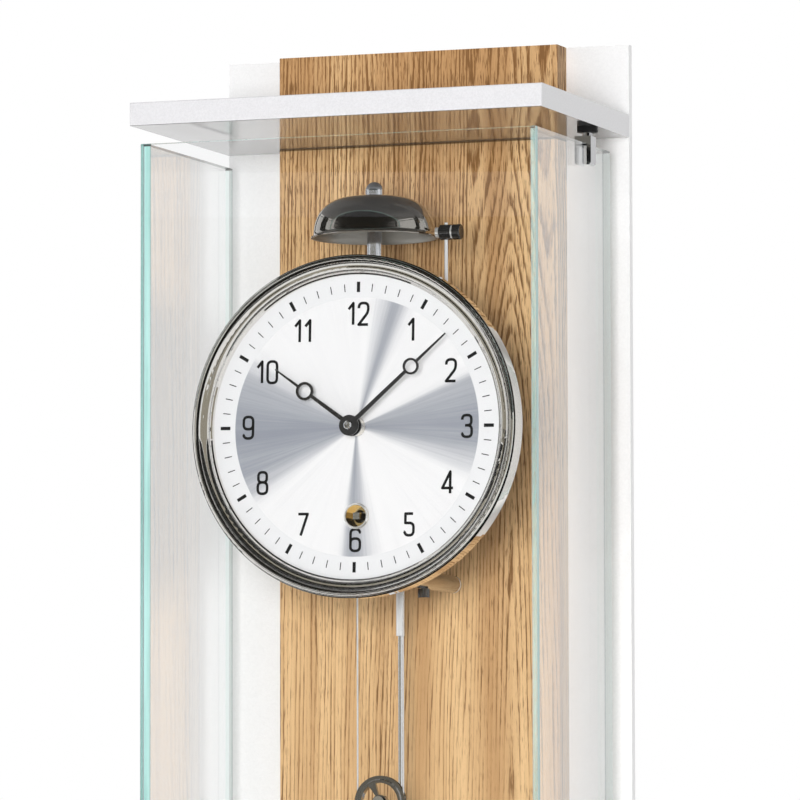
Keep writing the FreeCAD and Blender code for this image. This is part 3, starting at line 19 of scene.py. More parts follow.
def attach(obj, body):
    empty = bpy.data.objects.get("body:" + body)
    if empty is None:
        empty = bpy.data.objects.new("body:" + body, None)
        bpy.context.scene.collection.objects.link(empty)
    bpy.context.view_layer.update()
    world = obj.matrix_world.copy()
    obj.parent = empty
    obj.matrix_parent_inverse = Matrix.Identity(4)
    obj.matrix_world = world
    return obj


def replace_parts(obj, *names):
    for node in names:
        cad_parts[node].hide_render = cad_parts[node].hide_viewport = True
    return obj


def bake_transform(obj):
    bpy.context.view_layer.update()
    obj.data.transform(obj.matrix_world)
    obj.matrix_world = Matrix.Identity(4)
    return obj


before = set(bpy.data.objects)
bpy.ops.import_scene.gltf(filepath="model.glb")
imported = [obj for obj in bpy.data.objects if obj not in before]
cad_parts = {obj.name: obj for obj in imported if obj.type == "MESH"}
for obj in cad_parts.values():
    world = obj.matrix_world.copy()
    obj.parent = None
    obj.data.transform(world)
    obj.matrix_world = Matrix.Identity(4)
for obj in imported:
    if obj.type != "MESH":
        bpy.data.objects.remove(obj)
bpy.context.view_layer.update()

MM = 0.001
FULL_TURN = 2.0 * math.pi
WHITE = (1.0, 1.0, 1.0)
DIAL_CENTRE = np.array([0.0, -139.5, -230.0])
LOG = logging.getLogger("regulator")

Triple = tuple[float, float, float]
Colour = Triple
Place = Triple
Span = tuple[float, float]
Levels = tuple[Span, ...]
Grid = tuple[np.ndarray, np.ndarray]
Number = Union["Signal", float]


class Axis(Enum):
    """A direction of the frame, as the index of its coordinate, or the distance from the dial's own axis."""

    X = 0
    Y = 1
    Z = 2
    RADIUS = 3


class Home(Enum):
    """What a node sheet belongs to, as Blender's name for its output."""

    MATERIAL = "Material"
    WORLD = "World"


class Signal:
    """The output of a shader node, with arithmetic that adds Math nodes to the same sheet."""

    def __init__(self, sheet: "Sheet", socket: bpy.types.NodeSocket) -> None:
        """Wrap an output socket of a node sheet."""
        self.sheet = sheet
        self.socket = socket

    def math(self, operation: str, *values: Any) -> "Signal":
        """The result of one Math node of that operation, on the values in order."""
        return self.sheet.node("ShaderNodeMath", {"operation": operation}, dict(enumerate(values)))

    def __add__(self, other: Number) -> "Signal":
        """Sum."""
        return self.math("ADD", self, other)

    def __radd__(self, other: Number) -> "Signal":
        """Sum, reflected."""
        return self.math("ADD", other, self)

    def __sub__(self, other: Number) -> "Signal":
        """Difference."""
        return self.math("SUBTRACT", self, other)

    def __rsub__(self, other: Number) -> "Signal":
        """Difference, reflected."""
        return self.math("SUBTRACT", other, self)

    def __mul__(self, other: Number) -> "Signal":
        """Product."""
        return self.math("MULTIPLY", self, other)

    def __rmul__(self, other: Number) -> "Signal":
        """Product, reflected."""
        return self.math("MULTIPLY", other, self)

    def __truediv__(self, other: Number) -> "Signal":
        """Quotient."""
        return self.math("DIVIDE", self, other)

    def __rtruediv__(self, other: Number) -> "Signal":
        """Quotient, reflected."""
        return self.math("DIVIDE", other, self)

    def __pow__(self, other: Number) -> "Signal":
        """Power."""
        return self.math("POWER", self, other)

    def __rpow__(self, other: Number) -> "Signal":
        """Power, reflected."""
        return self.math("POWER", other, self)

    def __lt__(self, other: Number) -> "Signal":
        """One where this is the smaller."""
        return self.math("LESS_THAN", self, other)

    def __gt__(self, other: Number) -> "Signal":
        """One where this is the greater."""
        return self.math("GREATER_THAN", self, other)

    def __neg__(self) -> "Signal":
        """Opposite."""
        return self.math("MULTIPLY", self, -1.0)

    def __abs__(self) -> "Signal":
        """Size without sign."""
        return self.math("ABSOLUTE", self)

    def fraction(self) -> "Signal":
        """The part after the decimal point."""
        return self.math("FRACT", self)

    def root(self) -> "Signal":
        """The square root."""
        return self.math("SQRT", self)

    def most(self, other: Number) -> "Signal":
        """The greater of this and another number."""
        return self.math("MAXIMUM", self, other)

    def between(self, low: float, high: float) -> "Signal":
        """A smooth step from 0 at low to 1 at high, which falls where high is the smaller."""
        return self.sheet.node("ShaderNodeMapRange", {"interpolation_type": "SMOOTHSTEP", "clamp": True},
                               {"Value": self, "From Min": low, "From Max": high})

    def past(self, span: Span) -> "Signal":
        """A smooth step of a place in metres, over a span in millimetres."""
        return self.between(span[0] * MM, span[1] * MM)


class Sheet:
    """The node sheet of one material, or of the world."""

    def __init__(self, name: str, home: Home = Home.MATERIAL) -> None:
        """Start an empty sheet.

        Args:
            name: the name of the material or the world.
            home: which of the two it is.
        """
        self.home = home
        self.owner = (bpy.data.worlds if home is Home.WORLD else bpy.data.materials).new(name)
        self.owner.use_nodes = True
        self.tree = self.owner.node_tree
        self.tree.nodes.clear()

    def node(self, kind: str, settings: Optional[Mapping[str, Any]] = None,
             inputs: Optional[Mapping[Union[int, str], Any]] = None, output: Union[int, str] = 0) -> Signal:
        """Add any node.

        Args:
            kind: the node's type.
            settings: its own properties, with "stops" for a colour ramp's (position, colour) list.
            inputs: socket values or signals by socket name or index.
            output: which of its outputs to give back.

        Returns:
            That output.
        """
        made = self.tree.nodes.new(kind)
        for key, value in (settings or {}).items():
            if key == "stops":
                self._set_stops(made.color_ramp, value)
            else:
                setattr(made, key, value)
        for key, value in (inputs or {}).items():
            self._feed(made.inputs[key], value)
        return Signal(self, made.outputs[output])

    @staticmethod
    def _set_stops(ramp: bpy.types.ColorRamp, stops: Sequence[tuple[float, Colour]]) -> None:
        """Give a colour ramp its stops.

        Args:
            ramp: the ramp.
            stops: positions and colours in rising order.
        """
        while len(ramp.elements) < len(stops):
            ramp.elements.new(1.0)
        for element, (position, colour) in zip(ramp.elements, stops):
            element.position = position
            element.color = (*colour, 1.0)

    def _feed(self, socket: bpy.types.NodeSocket, value: Any) -> None:
        """Link a signal to a socket, or set its value.

        Args:
            socket: the input socket.
            value: a signal, a number, a vector or a colour of three numbers.
        """
        if isinstance(value, Signal):
            self.tree.links.new(value.socket, socket)
        elif socket.type == "RGBA":
            socket.default_value = (*value, 1.0)
        else:
            socket.default_value = value

    def place(self) -> Signal:
        """The object coordinates, in metres."""
        return self.node("ShaderNodeTexCoord", output="Object")

    def lean(self) -> tuple[Signal, Signal, Signal]:
        """The X, Y and Z of the surface's normal."""
        return self.axes(self.node("ShaderNodeTexCoord", output="Normal"))

    def axes(self, vector: Signal) -> tuple[Signal, Signal, Signal]:
        """The X, Y and Z of a vector."""
        split = self.node("ShaderNodeSeparateXYZ", None, {0: vector}).socket.node
        return tuple(Signal(self, output) for output in split.outputs)

    def along(self, axis: Axis) -> Signal:
        """Where a place lies along an axis, in metres.

        Args:
            axis: the axis, or the distance from the dial's axis.

        Returns:
            The coordinate.
        """
        x, y, z = self.axes(self.place())
        if axis is Axis.RADIUS:
            up = z - DIAL_CENTRE[2] * MM
            return (x * x + up * up).root()
        return (x, y, z)[axis.value]

    def noise(self, scale: float, detail: float = 3.0, roughness: float = 0.5,
              vector: Optional[Signal] = None) -> Signal:
        """Three-dimensional noise.

        Args:
            scale: its waves to the unit.
            detail: its octaves.
            roughness: how strong the finer octaves are.
            vector: where to read it, if not at the object coordinates.

        Returns:
            A number round 0.5.
        """
        where = self.place() if vector is None else vector
        return self.node("ShaderNodeTexNoise", {"noise_dimensions": "3D"},
                         {"Vector": where, "Scale": scale, "Detail": detail, "Roughness": roughness})

    def grain(self, waves: Triple, detail: float = 3.0, roughness: float = 0.5) -> Signal:
        """Noise with its own waves to the metre along X, Y and Z: a number round 0.5."""
        place = self.node("ShaderNodeVectorMath", {"operation": "MULTIPLY"}, {0: self.place(), 1: waves})
        return self.noise(1.0, detail, roughness, place)

    def ramp(self, levels: Sequence[Span], at: Signal) -> Signal:
        """A grey ramp over 0 to 1, through pairs of a position and its level in rising order."""
        stops = tuple((position, (level,) * 3) for position, level in levels)
        return self.node("ShaderNodeValToRGB", {"stops": stops}, {0: at})

    def mix(self, factor: Number, first: Any, second: Any) -> Signal:
        """Mix two colours or signals: a factor of 0 gives the first, 1 the second."""
        return self.node("ShaderNodeMix", {"data_type": "RGBA"}, {0: factor, 6: first, 7: second}, 2)

    def either(self, share: Number, first: Signal, second: Signal) -> Signal:
        """Mix two shaders: a share of 0 gives the first, 1 the second."""
        return self.node("ShaderNodeMixShader", None, {0: share, 1: first, 2: second})

    def bump(self, height: Signal, strength: float, distance: float) -> Signal:
        """A normal bumped by a height from 0 to 1, where the distance in metres is the height of 1."""
        return self.node("ShaderNodeBump", None, {"Strength": strength, "Distance": distance, "Height": height})

    def surface(self, **values: Any) -> Signal:
        """A Principled surface: an underscore in an input's name stands for a space."""
        inputs = {key.replace("_", " "): value for key, value in values.items()}
        return self.node("ShaderNodeBsdfPrincipled", None, inputs)

    def close(self, shader: Signal) -> Union[bpy.types.Material, bpy.types.World]:
        """Send a shader to the output.

        Args:
            shader: the surface.

        Returns:
            The finished material or world.
        """
        output = self.tree.nodes.new("ShaderNodeOutput" + self.home.value)
        self.tree.links.new(shader.socket, output.inputs["Surface"])
        return self.owner


@dataclass(frozen=True)
class Finish:
    """A procedural finish. Each kind works out its own material."""

    name: str

    def material(self) -> bpy.types.Material:
        """Build the material, as each kind does."""
        raise NotImplementedError


@functools.cache
def material_of(finish: Finish) -> bpy.types.Material:
    """The material of a finish, made once."""
    return finish.material()


def toned(colour: Colour, factor: float) -> Colour:
    """A colour made lighter or darker, at most white."""
    return tuple(min(1.0, c * factor) for c in colour)


@dataclass(frozen=True)
class Lacquer(Finish):
    """Silver lacquer: a pale ground with fine flakes under a clear coat."""

    tint: Colour = (0.745, 0.740, 0.760)
    # The colour painted on faces that look down: a painted shade.
    thin: Colour = (0.11, 0.108, 0.106)
    thin_share: float = 0.9
    flake_scale: float = 2600.0
    coarse_scale: float = 2600.0 / 3.5
    cloud_scale: float = 14.0
    flake_depth: float = 0.055
    roughness: float = 0.34
    level: Span = (0.4, 0.9)
    dust_dulls: float = 0.14
    dust_covers: float = 0.9

    def material(self) -> bpy.types.Material:
        """Build the lacquer: flakes lighten and darken the tint, broad clouds change the gloss.

        Faces that look up are dulled by dust, and faces that look down are painted darker, a painted shade.

        Returns:
            The material.
        """
        sheet = Sheet(self.name)
        flakes = sheet.noise(self.flake_scale, 2.0, 0.7)
        coarse = sheet.noise(self.coarse_scale, 2.0, 0.7)
        clouds = sheet.noise(self.cloud_scale)
        up = sheet.lean()[Axis.Z.value]
        above, shaded_below = (way.between(*self.level) for way in (up, -up))
        dark, light = (toned(self.tint, 1.0 + way * self.flake_depth) for way in (-1.0, 1.0))
        ground = sheet.mix((flakes * 0.5 + coarse * 0.5).between(0.36, 0.64), dark, light)
        # Faces that look down get a painted shade.
        base = sheet.mix(shaded_below * self.thin_share, ground, self.thin)
        roughness = self.roughness + above * self.dust_dulls + (clouds - 0.5) * 0.08 + (flakes - 0.5) * 0.10
        return sheet.close(sheet.surface(Base_Color=base, Metallic=0.12, Roughness=roughness,
                                         Coat_Weight=1.0 - above * self.dust_covers, Coat_Roughness=0.05,
                                         Coat_IOR=1.75))


@dataclass(frozen=True)
class Oak(Finish):
    """Oiled oak, its grain along Z: rows of short dark pores that follow the growth rings, and broad zones of tone.

    Each grain is given by its waves to the metre along X, Y and Z, each height by where a change starts and ends.
    """

    light: Colour = (0.860, 0.590, 0.310)
    deep: Colour = (0.505, 0.288, 0.128)
    dark: Colour = (0.400, 0.215, 0.085)
    pore: Colour = (0.205, 0.098, 0.035)
    # The colour of a painted shadow line on the board, under the upper shelf.
    joint_dark: Colour = (0.045, 0.026, 0.014)
    ring_spacing: float = 2.7
    ring_slope: float = 0.6
    arch_x: float = 50.0
    arch_reach: float = 4.0
    arch_rise: float = 8.0
    arch_half: float = 11.0
    arch_rings: float = 7.0
    arch_heights: Span = (-260.0, -20.0)
    # Heights over which the wood grows darker towards the top: partly its own tone, partly painted shade.
    upper_heights: Span = (-420.0, -80.0)
    end_heights: Span = (-30.0, 10.0)
    joint_lower: Span = (-36.3, -35.7)
    joint_upper: Span = (-34.9, -34.4)
    broad_grain: Triple = (9.0, 9.0, 1.1)
    middle_grain: Triple = (90.0, 90.0, 6.0)
    uneven_grain: Triple = (170.0, 170.0, 3.0)
    zone_grain: Triple = (24.0, 24.0, 1.0)
    streak_grain: Triple = (420.0, 420.0, 6.0)
    dash_grain: Triple = (950.0, 950.0, 52.0)
    fleck_grain: Triple = (1500.0, 1500.0, 90.0)
    cover_grain: Triple = (36.0, 36.0, 2.4)
    ring_levels: ClassVar[Levels] = (
        (0.0, 0.55), (0.07, 1.0), (0.20, 0.75), (0.36, 0.25), (0.60, 0.06), (0.92, 0.0), (1.0, 0.40))

    def material(self) -> bpy.types.Material:
        """Build the oak.

        The ring count at a place is v = rise * z + hypot(x - arch_x, reach) / spacing, bent by noise, so rings run
        straight at the sides and arch near arch_x, with arch_rings more inside the pointed arches of the upper end.
        Each ring starts with a row of pores and fades, and some rings are stronger than others. Towards the top
        the wood is darker, with more pores: partly its own tone, partly painted shade. A painted shadow line lies
        where the upper shelf meets the board.

        Returns:
            The material.
        """
        sheet = Sheet(self.name)
        x, y, z = sheet.axes(sheet.place())
        # upper and end darken the wood towards the top: partly its own tone, partly painted shade.
        upper = z.past(self.upper_heights)
        end = z.past(self.end_heights)
        across = (x + y * self.ring_slope - self.arch_x * MM) / (self.ring_spacing * MM)
        reach = (self.arch_reach / self.ring_spacing) ** 2
        near = (1.0 - across * across / self.arch_half ** 2).most(0.0)
        arch = near * z.past(self.arch_heights) * self.arch_rings
        broad = (sheet.grain(self.broad_grain) - 0.5) * (10.0 - near * 6.0)
        middle = (sheet.grain(self.middle_grain) - 0.5) * (2.4 - near * 2.0)
        rings = (across * across + reach).root() + z * self.arch_rise + arch + broad + middle
        uneven = sheet.grain(self.uneven_grain, 2.0).between(0.35, 0.65)
        early = sheet.ramp(self.ring_levels, rings.fraction()) * (0.40 + uneven * 0.8)
        zones = sheet.grain(self.zone_grain, 3.0, 0.6).between(0.36, 0.66)
        streak = sheet.grain(self.streak_grain, 4.0, 0.7) - 0.5
        dashes = sheet.grain(self.dash_grain, 3.0, 0.65).between(0.38, 0.62)
        flecks = sheet.grain(self.fleck_grain, 2.0, 0.6).between(0.52, 0.70)
        cover = sheet.grain(self.cover_grain, 3.0, 0.6).between(0.30, 0.70)
        ground = sheet.mix(zones * 0.75 + end * 0.35 + 0.19, self.light, self.deep)
        shade = (early * (0.55 + upper * 0.30) + streak * 1.5 + 0.10).between(0.0, 1.0)
        wood = sheet.mix(shade * 0.95, ground, self.dark)
        pores = dashes * (early * 0.95 + 0.05) + flecks * 0.45
        pits = (pores * (0.60 + cover * 0.8 + upper * 1.1 + end * 0.6)).between(0.05, 0.95)
        # A painted shadow line on the board, just under the upper shelf.
        joint_shadow = z.past(self.joint_lower) * (1.0 - z.past(self.joint_upper))
        colour = sheet.mix(joint_shadow * 0.8, sheet.mix(pits * 0.94, wood, self.pore), self.joint_dark)
        height = 0.8 - pits * 0.6 + streak * 0.2
        return sheet.close(sheet.surface(Base_Color=colour, Roughness=0.46 + pits * 0.2 + streak * 0.12,
                                         Specular_IOR_Level=0.3, Normal=sheet.bump(height, 0.3, 0.0003)))


@dataclass(frozen=True)
class PaneGlass(Finish):
    """Clear float glass: see-through on its large faces, sea-green at its front edges, grey at its arrises."""

    across: Axis = Axis.Y
    middle: float = 0.0
    tint: Colour = (0.978, 0.981, 0.982)
    rear_tint: Colour = (0.84, 0.92, 0.90)
    edge: Colour = (0.46, 0.69, 0.66)
    core: Colour = (0.22, 0.44, 0.405)
    arris: Colour = (0.32, 0.36, 0.37)
    end: Colour = (0.07, 0.08, 0.08)
    thickness: float = 5.0
    arris_width: float = 0.55
    rear: float = -60.0
    top: float = -47.5
    bottom: float = -1000.5
    least_mirror: float = 0.015
    mirror_power: float = 3.6
    # How strongly the green edges glow: a painted glow for light carried along the glass.
    edge_glow: float = 0.12
    streak_grain: Triple = (300.0, 300.0, 9.0)

    def material(self) -> bpy.types.Material:
        """Build the glass: on a large face, the mirror share is m + (1 - m) (1 - cos)^p for its least mirror m.

        Returns:
            The material.
        """
        sheet = Sheet(self.name)
        facing = sheet.node("ShaderNodeLayerWeight", None, {"Blend": 0.5}, "Facing")
        share = facing ** self.mirror_power * (1.0 - self.least_mirror) + self.least_mirror
        mirror = sheet.node("ShaderNodeBsdfGlossy", None, {"Color": WHITE, "Roughness": 0.0})
        clear, rear_clear = (sheet.node("ShaderNodeBsdfTransparent", None, {"Color": tint})
                             for tint in (self.tint, self.rear_tint))
        places = sheet.axes(sheet.place())
        depth = abs(places[self.across.value])
        from_middle = abs(depth - self.middle * MM) / (self.thickness / 2.0 * MM)
        arris = self.arris_width / self.thickness
        at_arris = from_middle.between(1.0 - 2.2 * arris, 1.0 - 1.2 * arris)
        green = sheet.mix(sheet.grain(self.streak_grain, 2.0).between(0.3, 0.85), self.edge, self.core)
        _, y, z = places
        at_end = (z > self.top * MM).most(z < self.bottom * MM)
        colour = sheet.mix(at_end, sheet.mix(at_arris, green, self.arris), self.end)
        # The edges' emission is a painted glow.
        edge = sheet.surface(Base_Color=colour, Roughness=0.16, Emission_Color=colour,
                             Emission_Strength=self.edge_glow, Coat_Weight=0.5, Coat_Roughness=0.03)
        shown = (at_arris * (depth < self.middle * MM)).most(at_end)
        any_edge = sheet.either(y > self.rear * MM, edge, sheet.either(shown, rear_clear, edge))
        at_edge = abs(sheet.lean()[self.across.value]) < 0.5
        return sheet.close(sheet.either(at_edge, sheet.either(share, clear, mirror), any_edge))


@dataclass(frozen=True)
class Metal(Finish):
    """Polished or satin metal with faint lines and handling marks."""

    tint: Colour = (0.70, 0.68, 0.66)
    roughness: float = 0.06
    marks: float = 0.05
    line_scale: Triple = (900.0, 900.0, 900.0)
    line_depth: float = 0.05
    metallic: float = 1.0
    # The radius outside which the turned-back edge gets a painted shadow and dark reflection.
    shoulder: float = 0.0
    smear_scale: float = 55.0
    blackened: Colour = (0.006, 0.006, 0.006)
    turns_from: Span = (-0.74, -0.68)
    turns_to: Span = (-0.22, -0.16)

    def material(self) -> bpy.types.Material:
        """Build the metal: where a radius for a dark rim is given, the edge outside it that turns back is painted
        dark, a painted shadow and dark reflection.

        Returns:
            The material.
        """
        sheet = Sheet(self.name)
        lines = sheet.grain(self.line_scale, 3.0, 0.6)
        smears = sheet.noise(self.smear_scale, 4.0, 0.6)
        base = sheet.mix(lines.between(0.3, 0.7), toned(self.tint, 1.0 - 2.0 * self.line_depth), self.tint)
        roughness = self.roughness + smears.between(0.42, 0.75) * self.marks + (lines - 0.5) * self.line_depth
        # Painted shadow and dark reflection on the turned-back outer edge.
        if self.shoulder:
            lean_y = sheet.lean()[Axis.Y.value]
            painted_rim = lean_y.between(*self.turns_from) * (1.0 - lean_y.between(*self.turns_to))
            base = sheet.mix(painted_rim * (sheet.along(Axis.RADIUS) > self.shoulder * MM), base, self.blackened)
        return sheet.close(sheet.surface(Base_Color=base, Metallic=self.metallic, Roughness=roughness))


@dataclass(frozen=True)
class BellMetal(Finish):
    """Dark polished nickel outside, paler satin inside."""

    outside: Colour = (0.34, 0.322, 0.298)
    inside: Colour = (0.40, 0.385, 0.355)
    smear: Colour = (0.30, 0.28, 0.25)
    axis_y: float = -105.0
    smear_scale: float = 60.0
    turning_grain: Triple = (40.0, 40.0, 2500.0)
    inward: float = -0.0002
    downward: float = -0.6

    def material(self) -> bpy.types.Material:
        """Build the bell's metal: inside is where the normal leans to the bell's axis, or down.

        Returns:
            The material.
        """
        sheet = Sheet(self.name)
        x, y, _ = sheet.axes(sheet.place())
        lean_x, lean_y, lean_z = sheet.lean()
        outward = x * lean_x + (y - self.axis_y * MM) * lean_y
        within = (outward < self.inward).most(lean_z < self.downward)
        smears = sheet.noise(self.smear_scale, 4.0, 0.6)
        turning = sheet.grain(self.turning_grain, 2.0)
        colour = sheet.mix(within, self.outside, self.inside)
        shaded = sheet.mix(smears.between(0.4, 0.8) * 0.18, colour, self.smear)
        roughness = 0.045 + within * 0.30 + smears.between(0.42, 0.75) * 0.05 + (turning - 0.5) * within * 0.1
        return sheet.close(sheet.surface(Base_Color=shaded, Metallic=1.0 - within * 0.6, Roughness=roughness))


@dataclass(frozen=True)
class Banded(Finish):
    """A piece in two finishes: bands of the second between pairs of places along an axis."""

    axis: Axis = Axis.Y
    bands: Levels = ()
    ground: Colour = (0.70, 0.675, 0.645)
    ground_metal: float = 1.0
    band: Colour = (0.012, 0.012, 0.013)
    band_metal: float = 0.0
    roughness: float = 0.07
    soft: float = 0.05
    smear_scale: float = 260.0

    def material(self) -> bpy.types.Material:
        """Build the bands: each starts and ends with a smooth step, soft to either side of its place.

        Returns:
            The material.
        """
        sheet = Sheet(self.name)
        place = sheet.along(self.axis)
        smears = sheet.noise(self.smear_scale, 4.0, 0.6)
        shares = [place.past((low - self.soft, low + self.soft)) * place.past((high + self.soft, high - self.soft))
                  for low, high in self.bands]
        inside = functools.reduce(Signal.most, shares)
        shaded = sheet.mix(smears.between(0.35, 0.75), self.ground, toned(self.ground, 0.9))
        colour = sheet.mix(inside, shaded, self.band)
        metal = self.ground_metal + inside * (self.band_metal - self.ground_metal)
        return sheet.close(sheet.surface(Base_Color=colour, Metallic=metal, Coat_Weight=0.3, Coat_Roughness=0.04,
                                         Roughness=self.roughness + smears.between(0.42, 0.8) * 0.06))


@dataclass(frozen=True)
class SunrayDial(Finish):
    """The dial: a sunray-brushed silver disc inside a plain pale ring."""

    disc_radius: float = 83.0
    disc_edge: float = 0.15
    ring: Colour = (0.745, 0.741, 0.748)
    bright: Colour = (0.862, 0.852, 0.856)
    dim: Colour = (0.275, 0.293, 0.338)
    # Painted reflection: how bright the brushed disc shows at each clockwise angle, in degrees.
    rays: ClassVar[Levels] = (
        (0.0, 0.93), (5.0, 0.97), (8.0, 0.90), (11.0, 0.66), (15.3, 0.42), (19.0, 0.20), (22.6, 0.42), (26.5, 0.80),
        (31.0, 0.96), (60.0, 0.98), (66.0, 0.80), (70.0, 0.32), (90.0, 0.12), (99.0, 0.22), (108.0, 0.52),
        (117.0, 0.93), (165.0, 0.98), (172.0, 0.70), (176.0, 0.45), (180.0, 0.30), (183.5, 0.15), (186.0, 0.44),
        (189.0, 0.96), (233.0, 0.93), (240.0, 0.48), (250.0, 0.20), (268.0, 0.08), (284.0, 0.22), (296.0, 0.36),
        (305.0, 0.80), (313.0, 0.98), (360.0, 0.93))

    def material(self) -> bpy.types.Material:
        """Build the dial: the sunray brushing's reflection is painted, as brightness in a ramp over the clockwise
        angle, with fine radial lines.

        Returns:
            The material.
        """
        sheet = Sheet(self.name)
        x, _, z = sheet.axes(sheet.place())
        up = z - DIAL_CENTRE[2] * MM
        turn = (x.math("ARCTAN2", x, up) / FULL_TURN + 1.0).fraction()
        radius = sheet.along(Axis.RADIUS)
        level = sheet.ramp([(angle / 360.0, level) for angle, level in self.rays], turn)
        fine = self.brushing(sheet, turn * 420.0, radius * 9.0, 3.0, 0.7) - 0.5
        wide = self.brushing(sheet, turn * 60.0, radius * 14.0, 2.0, 0.5) - 0.5
        painted_reflection = (level + fine * 0.26 + wide * 0.20).between(-0.05, 1.05)
        disc = sheet.mix(painted_reflection, self.dim, self.bright)
        outside = radius.past((self.disc_radius - self.disc_edge, self.disc_radius + self.disc_edge))
        return sheet.close(sheet.surface(Base_Color=sheet.mix(outside, disc, self.ring),
                                         Metallic=0.10 - outside * 0.10,
                                         Roughness=0.36 + outside * 0.14 + fine * 0.10))

    @staticmethod
    def brushing(sheet: Sheet, around: Signal, outward: Signal, detail: float, roughness: float) -> Signal:
        """Noise in lines that run out from the dial's centre, read at (around, outward) in waves."""
        place = sheet.node("ShaderNodeCombineXYZ", None, {0: around, 1: outward})
        return sheet.node("ShaderNodeTexNoise", {"noise_dimensions": "2D"},
                          {"Vector": place, "Scale": 1.0, "Detail": detail, "Roughness": roughness})


@dataclass(frozen=True)
class Dark(Finish):
    """Black paint or plastic with a faint mottle."""

    tint: Colour = (0.012, 0.012, 0.013)
    roughness: float = 0.32
    coat: float = 0.2
    sheen: float = 0.4
    mottle_scale: float = 800.0
    mottle_lift: float = 2.2

    def material(self) -> bpy.types.Material:
        """Build the black.

        Returns:
            The material.
        """
        sheet = Sheet(self.name)
        mottle = sheet.noise(self.mottle_scale)
        base = sheet.mix(mottle, self.tint, toned(self.tint, self.mottle_lift))
        return sheet.close(sheet.surface(Base_Color=base, Roughness=self.roughness + (mottle - 0.5) * 0.12,
                                         Specular_IOR_Level=self.sheen, Coat_Weight=self.coat, Coat_Roughness=0.15))


SILVER = Lacquer("silver_lacquer")
PALE_SILVER = Lacquer("pale_silver_lacquer", (0.955, 0.955, 0.958), flake_depth=0.03)
OAK = Oak("oiled_oak")
FRONT_PANE = PaneGlass("front_pane_glass", Axis.Y, 173.0, top=0.0, bottom=-2000.0)
SIDE_PANE = PaneGlass("side_pane_glass", Axis.X, 131.5)
NICKEL = Metal("polished_nickel", (0.80, 0.775, 0.74), 0.022, 0.03, line_depth=0.015)
# The bezel: nickel with a painted shadow and dark reflection on its outer edge.
SHADED_RIM_NICKEL = Metal("shaded_rim_nickel", (0.80, 0.775, 0.74), 0.022, 0.03, line_depth=0.015, shoulder=105.5)
BRIGHT = Metal("bright_steel", (0.66, 0.67, 0.70), 0.10, 0.05, (1500.0, 1500.0, 60.0), 0.04, 0.95)
BRUSHED = Metal("brushed_nickel", (0.70, 0.69, 0.67), 0.24, 0.02, (1500.0, 1500.0, 40.0), 0.08, 0.72)
CHROME = Metal("bright_chrome", (0.78, 0.79, 0.81), 0.06)
DARK_CHROME = Metal("dark_chrome", (0.46, 0.46, 0.47), 0.03, 0.03)
SMOKED = Metal("smoked_chrome", (0.13, 0.125, 0.12), 0.06)
SATIN = Metal("satin_aluminium", (0.86, 0.865, 0.875), 0.30, 0.05, (1500.0, 1500.0, 60.0), 0.04, 0.35)
STEEL = Metal("drawn_steel", (0.66, 0.665, 0.675), 0.22, 0.05, (1500.0, 1500.0, 60.0), 0.07)
BRASS = Metal("satin_brass", (0.72, 0.50, 0.20), 0.22, 0.06, (120.0, 1500.0, 1500.0), 0.07)
GUNMETAL = Metal("gunmetal", (0.30, 0.295, 0.29), 0.07, 0.05)
HAND_BLACK = Dark("hand_black")
PRINT_BLACK = Dark("print_black", (0.006, 0.006, 0.007), 0.6, 0.0, 0.08)
BUSH_BLACK = Dark("bush_black", (0.006, 0.006, 0.006), 0.5, 0.0, 0.1)
DIAL_FACE = SunrayDial("sunray_dial")
CABLE_STEEL = Metal("cable_steel", (0.80, 0.80, 0.80), 0.32, 0.08, (2500.0, 2500.0, 900.0), 0.08, 0.4)
BELL_NICKEL = BellMetal("bell_nickel")
HAMMER_BLACK = Banded("hammer_black", Axis.X, ((40.0, 44.6), (52.9, 54.0)), (0.012, 0.012, 0.013), 0.0,
                      (0.80, 0.79, 0.77), 0.6)
PILLAR_STEEL = Banded("pillar_steel", Axis.Y, ((-27.4, -24.8),), (0.50, 0.49, 0.475), 1.0,
                      (0.92, 0.93, 0.95), 0.35, 0.17)
WINDING_CUP = Banded("winding_cup", Axis.Y, ((-139.9, -120.0),), (0.88, 0.87, 0.85), 0.7,
                     (0.80, 0.60, 0.28), 1.0, 0.05)
COLLETED_BLACK = Banded("colleted_black", Axis.Y, ((-147.4, -130.0),), (0.014, 0.014, 0.015), 0.0,
                        (0.78, 0.74, 0.66), 0.7, 0.26)


def quads_of_grid(rows: int, columns: int, close_rows: bool, close_columns: bool) -> np.ndarray:
    """The quads between the points of a grid.

    Args:
        rows: how many rows of points.
        columns: how many points in a row.
        close_rows: whether the last row joins the first.
        close_columns: whether a row's last point joins its first.

    Returns:
        An (n, 4) array of point numbers.
    """
    r = np.arange(rows if close_rows else rows - 1)[:, None]
    c = np.arange(columns if close_columns else columns - 1)[None, :]
    r2 = (r + 1) % rows
    c2 = (c + 1) % columns
    corners = np.stack(np.broadcast_arrays(r * columns + c, r2 * columns + c, r2 * columns + c2, r * columns + c2), -1)
    return corners.reshape(-1, 4)


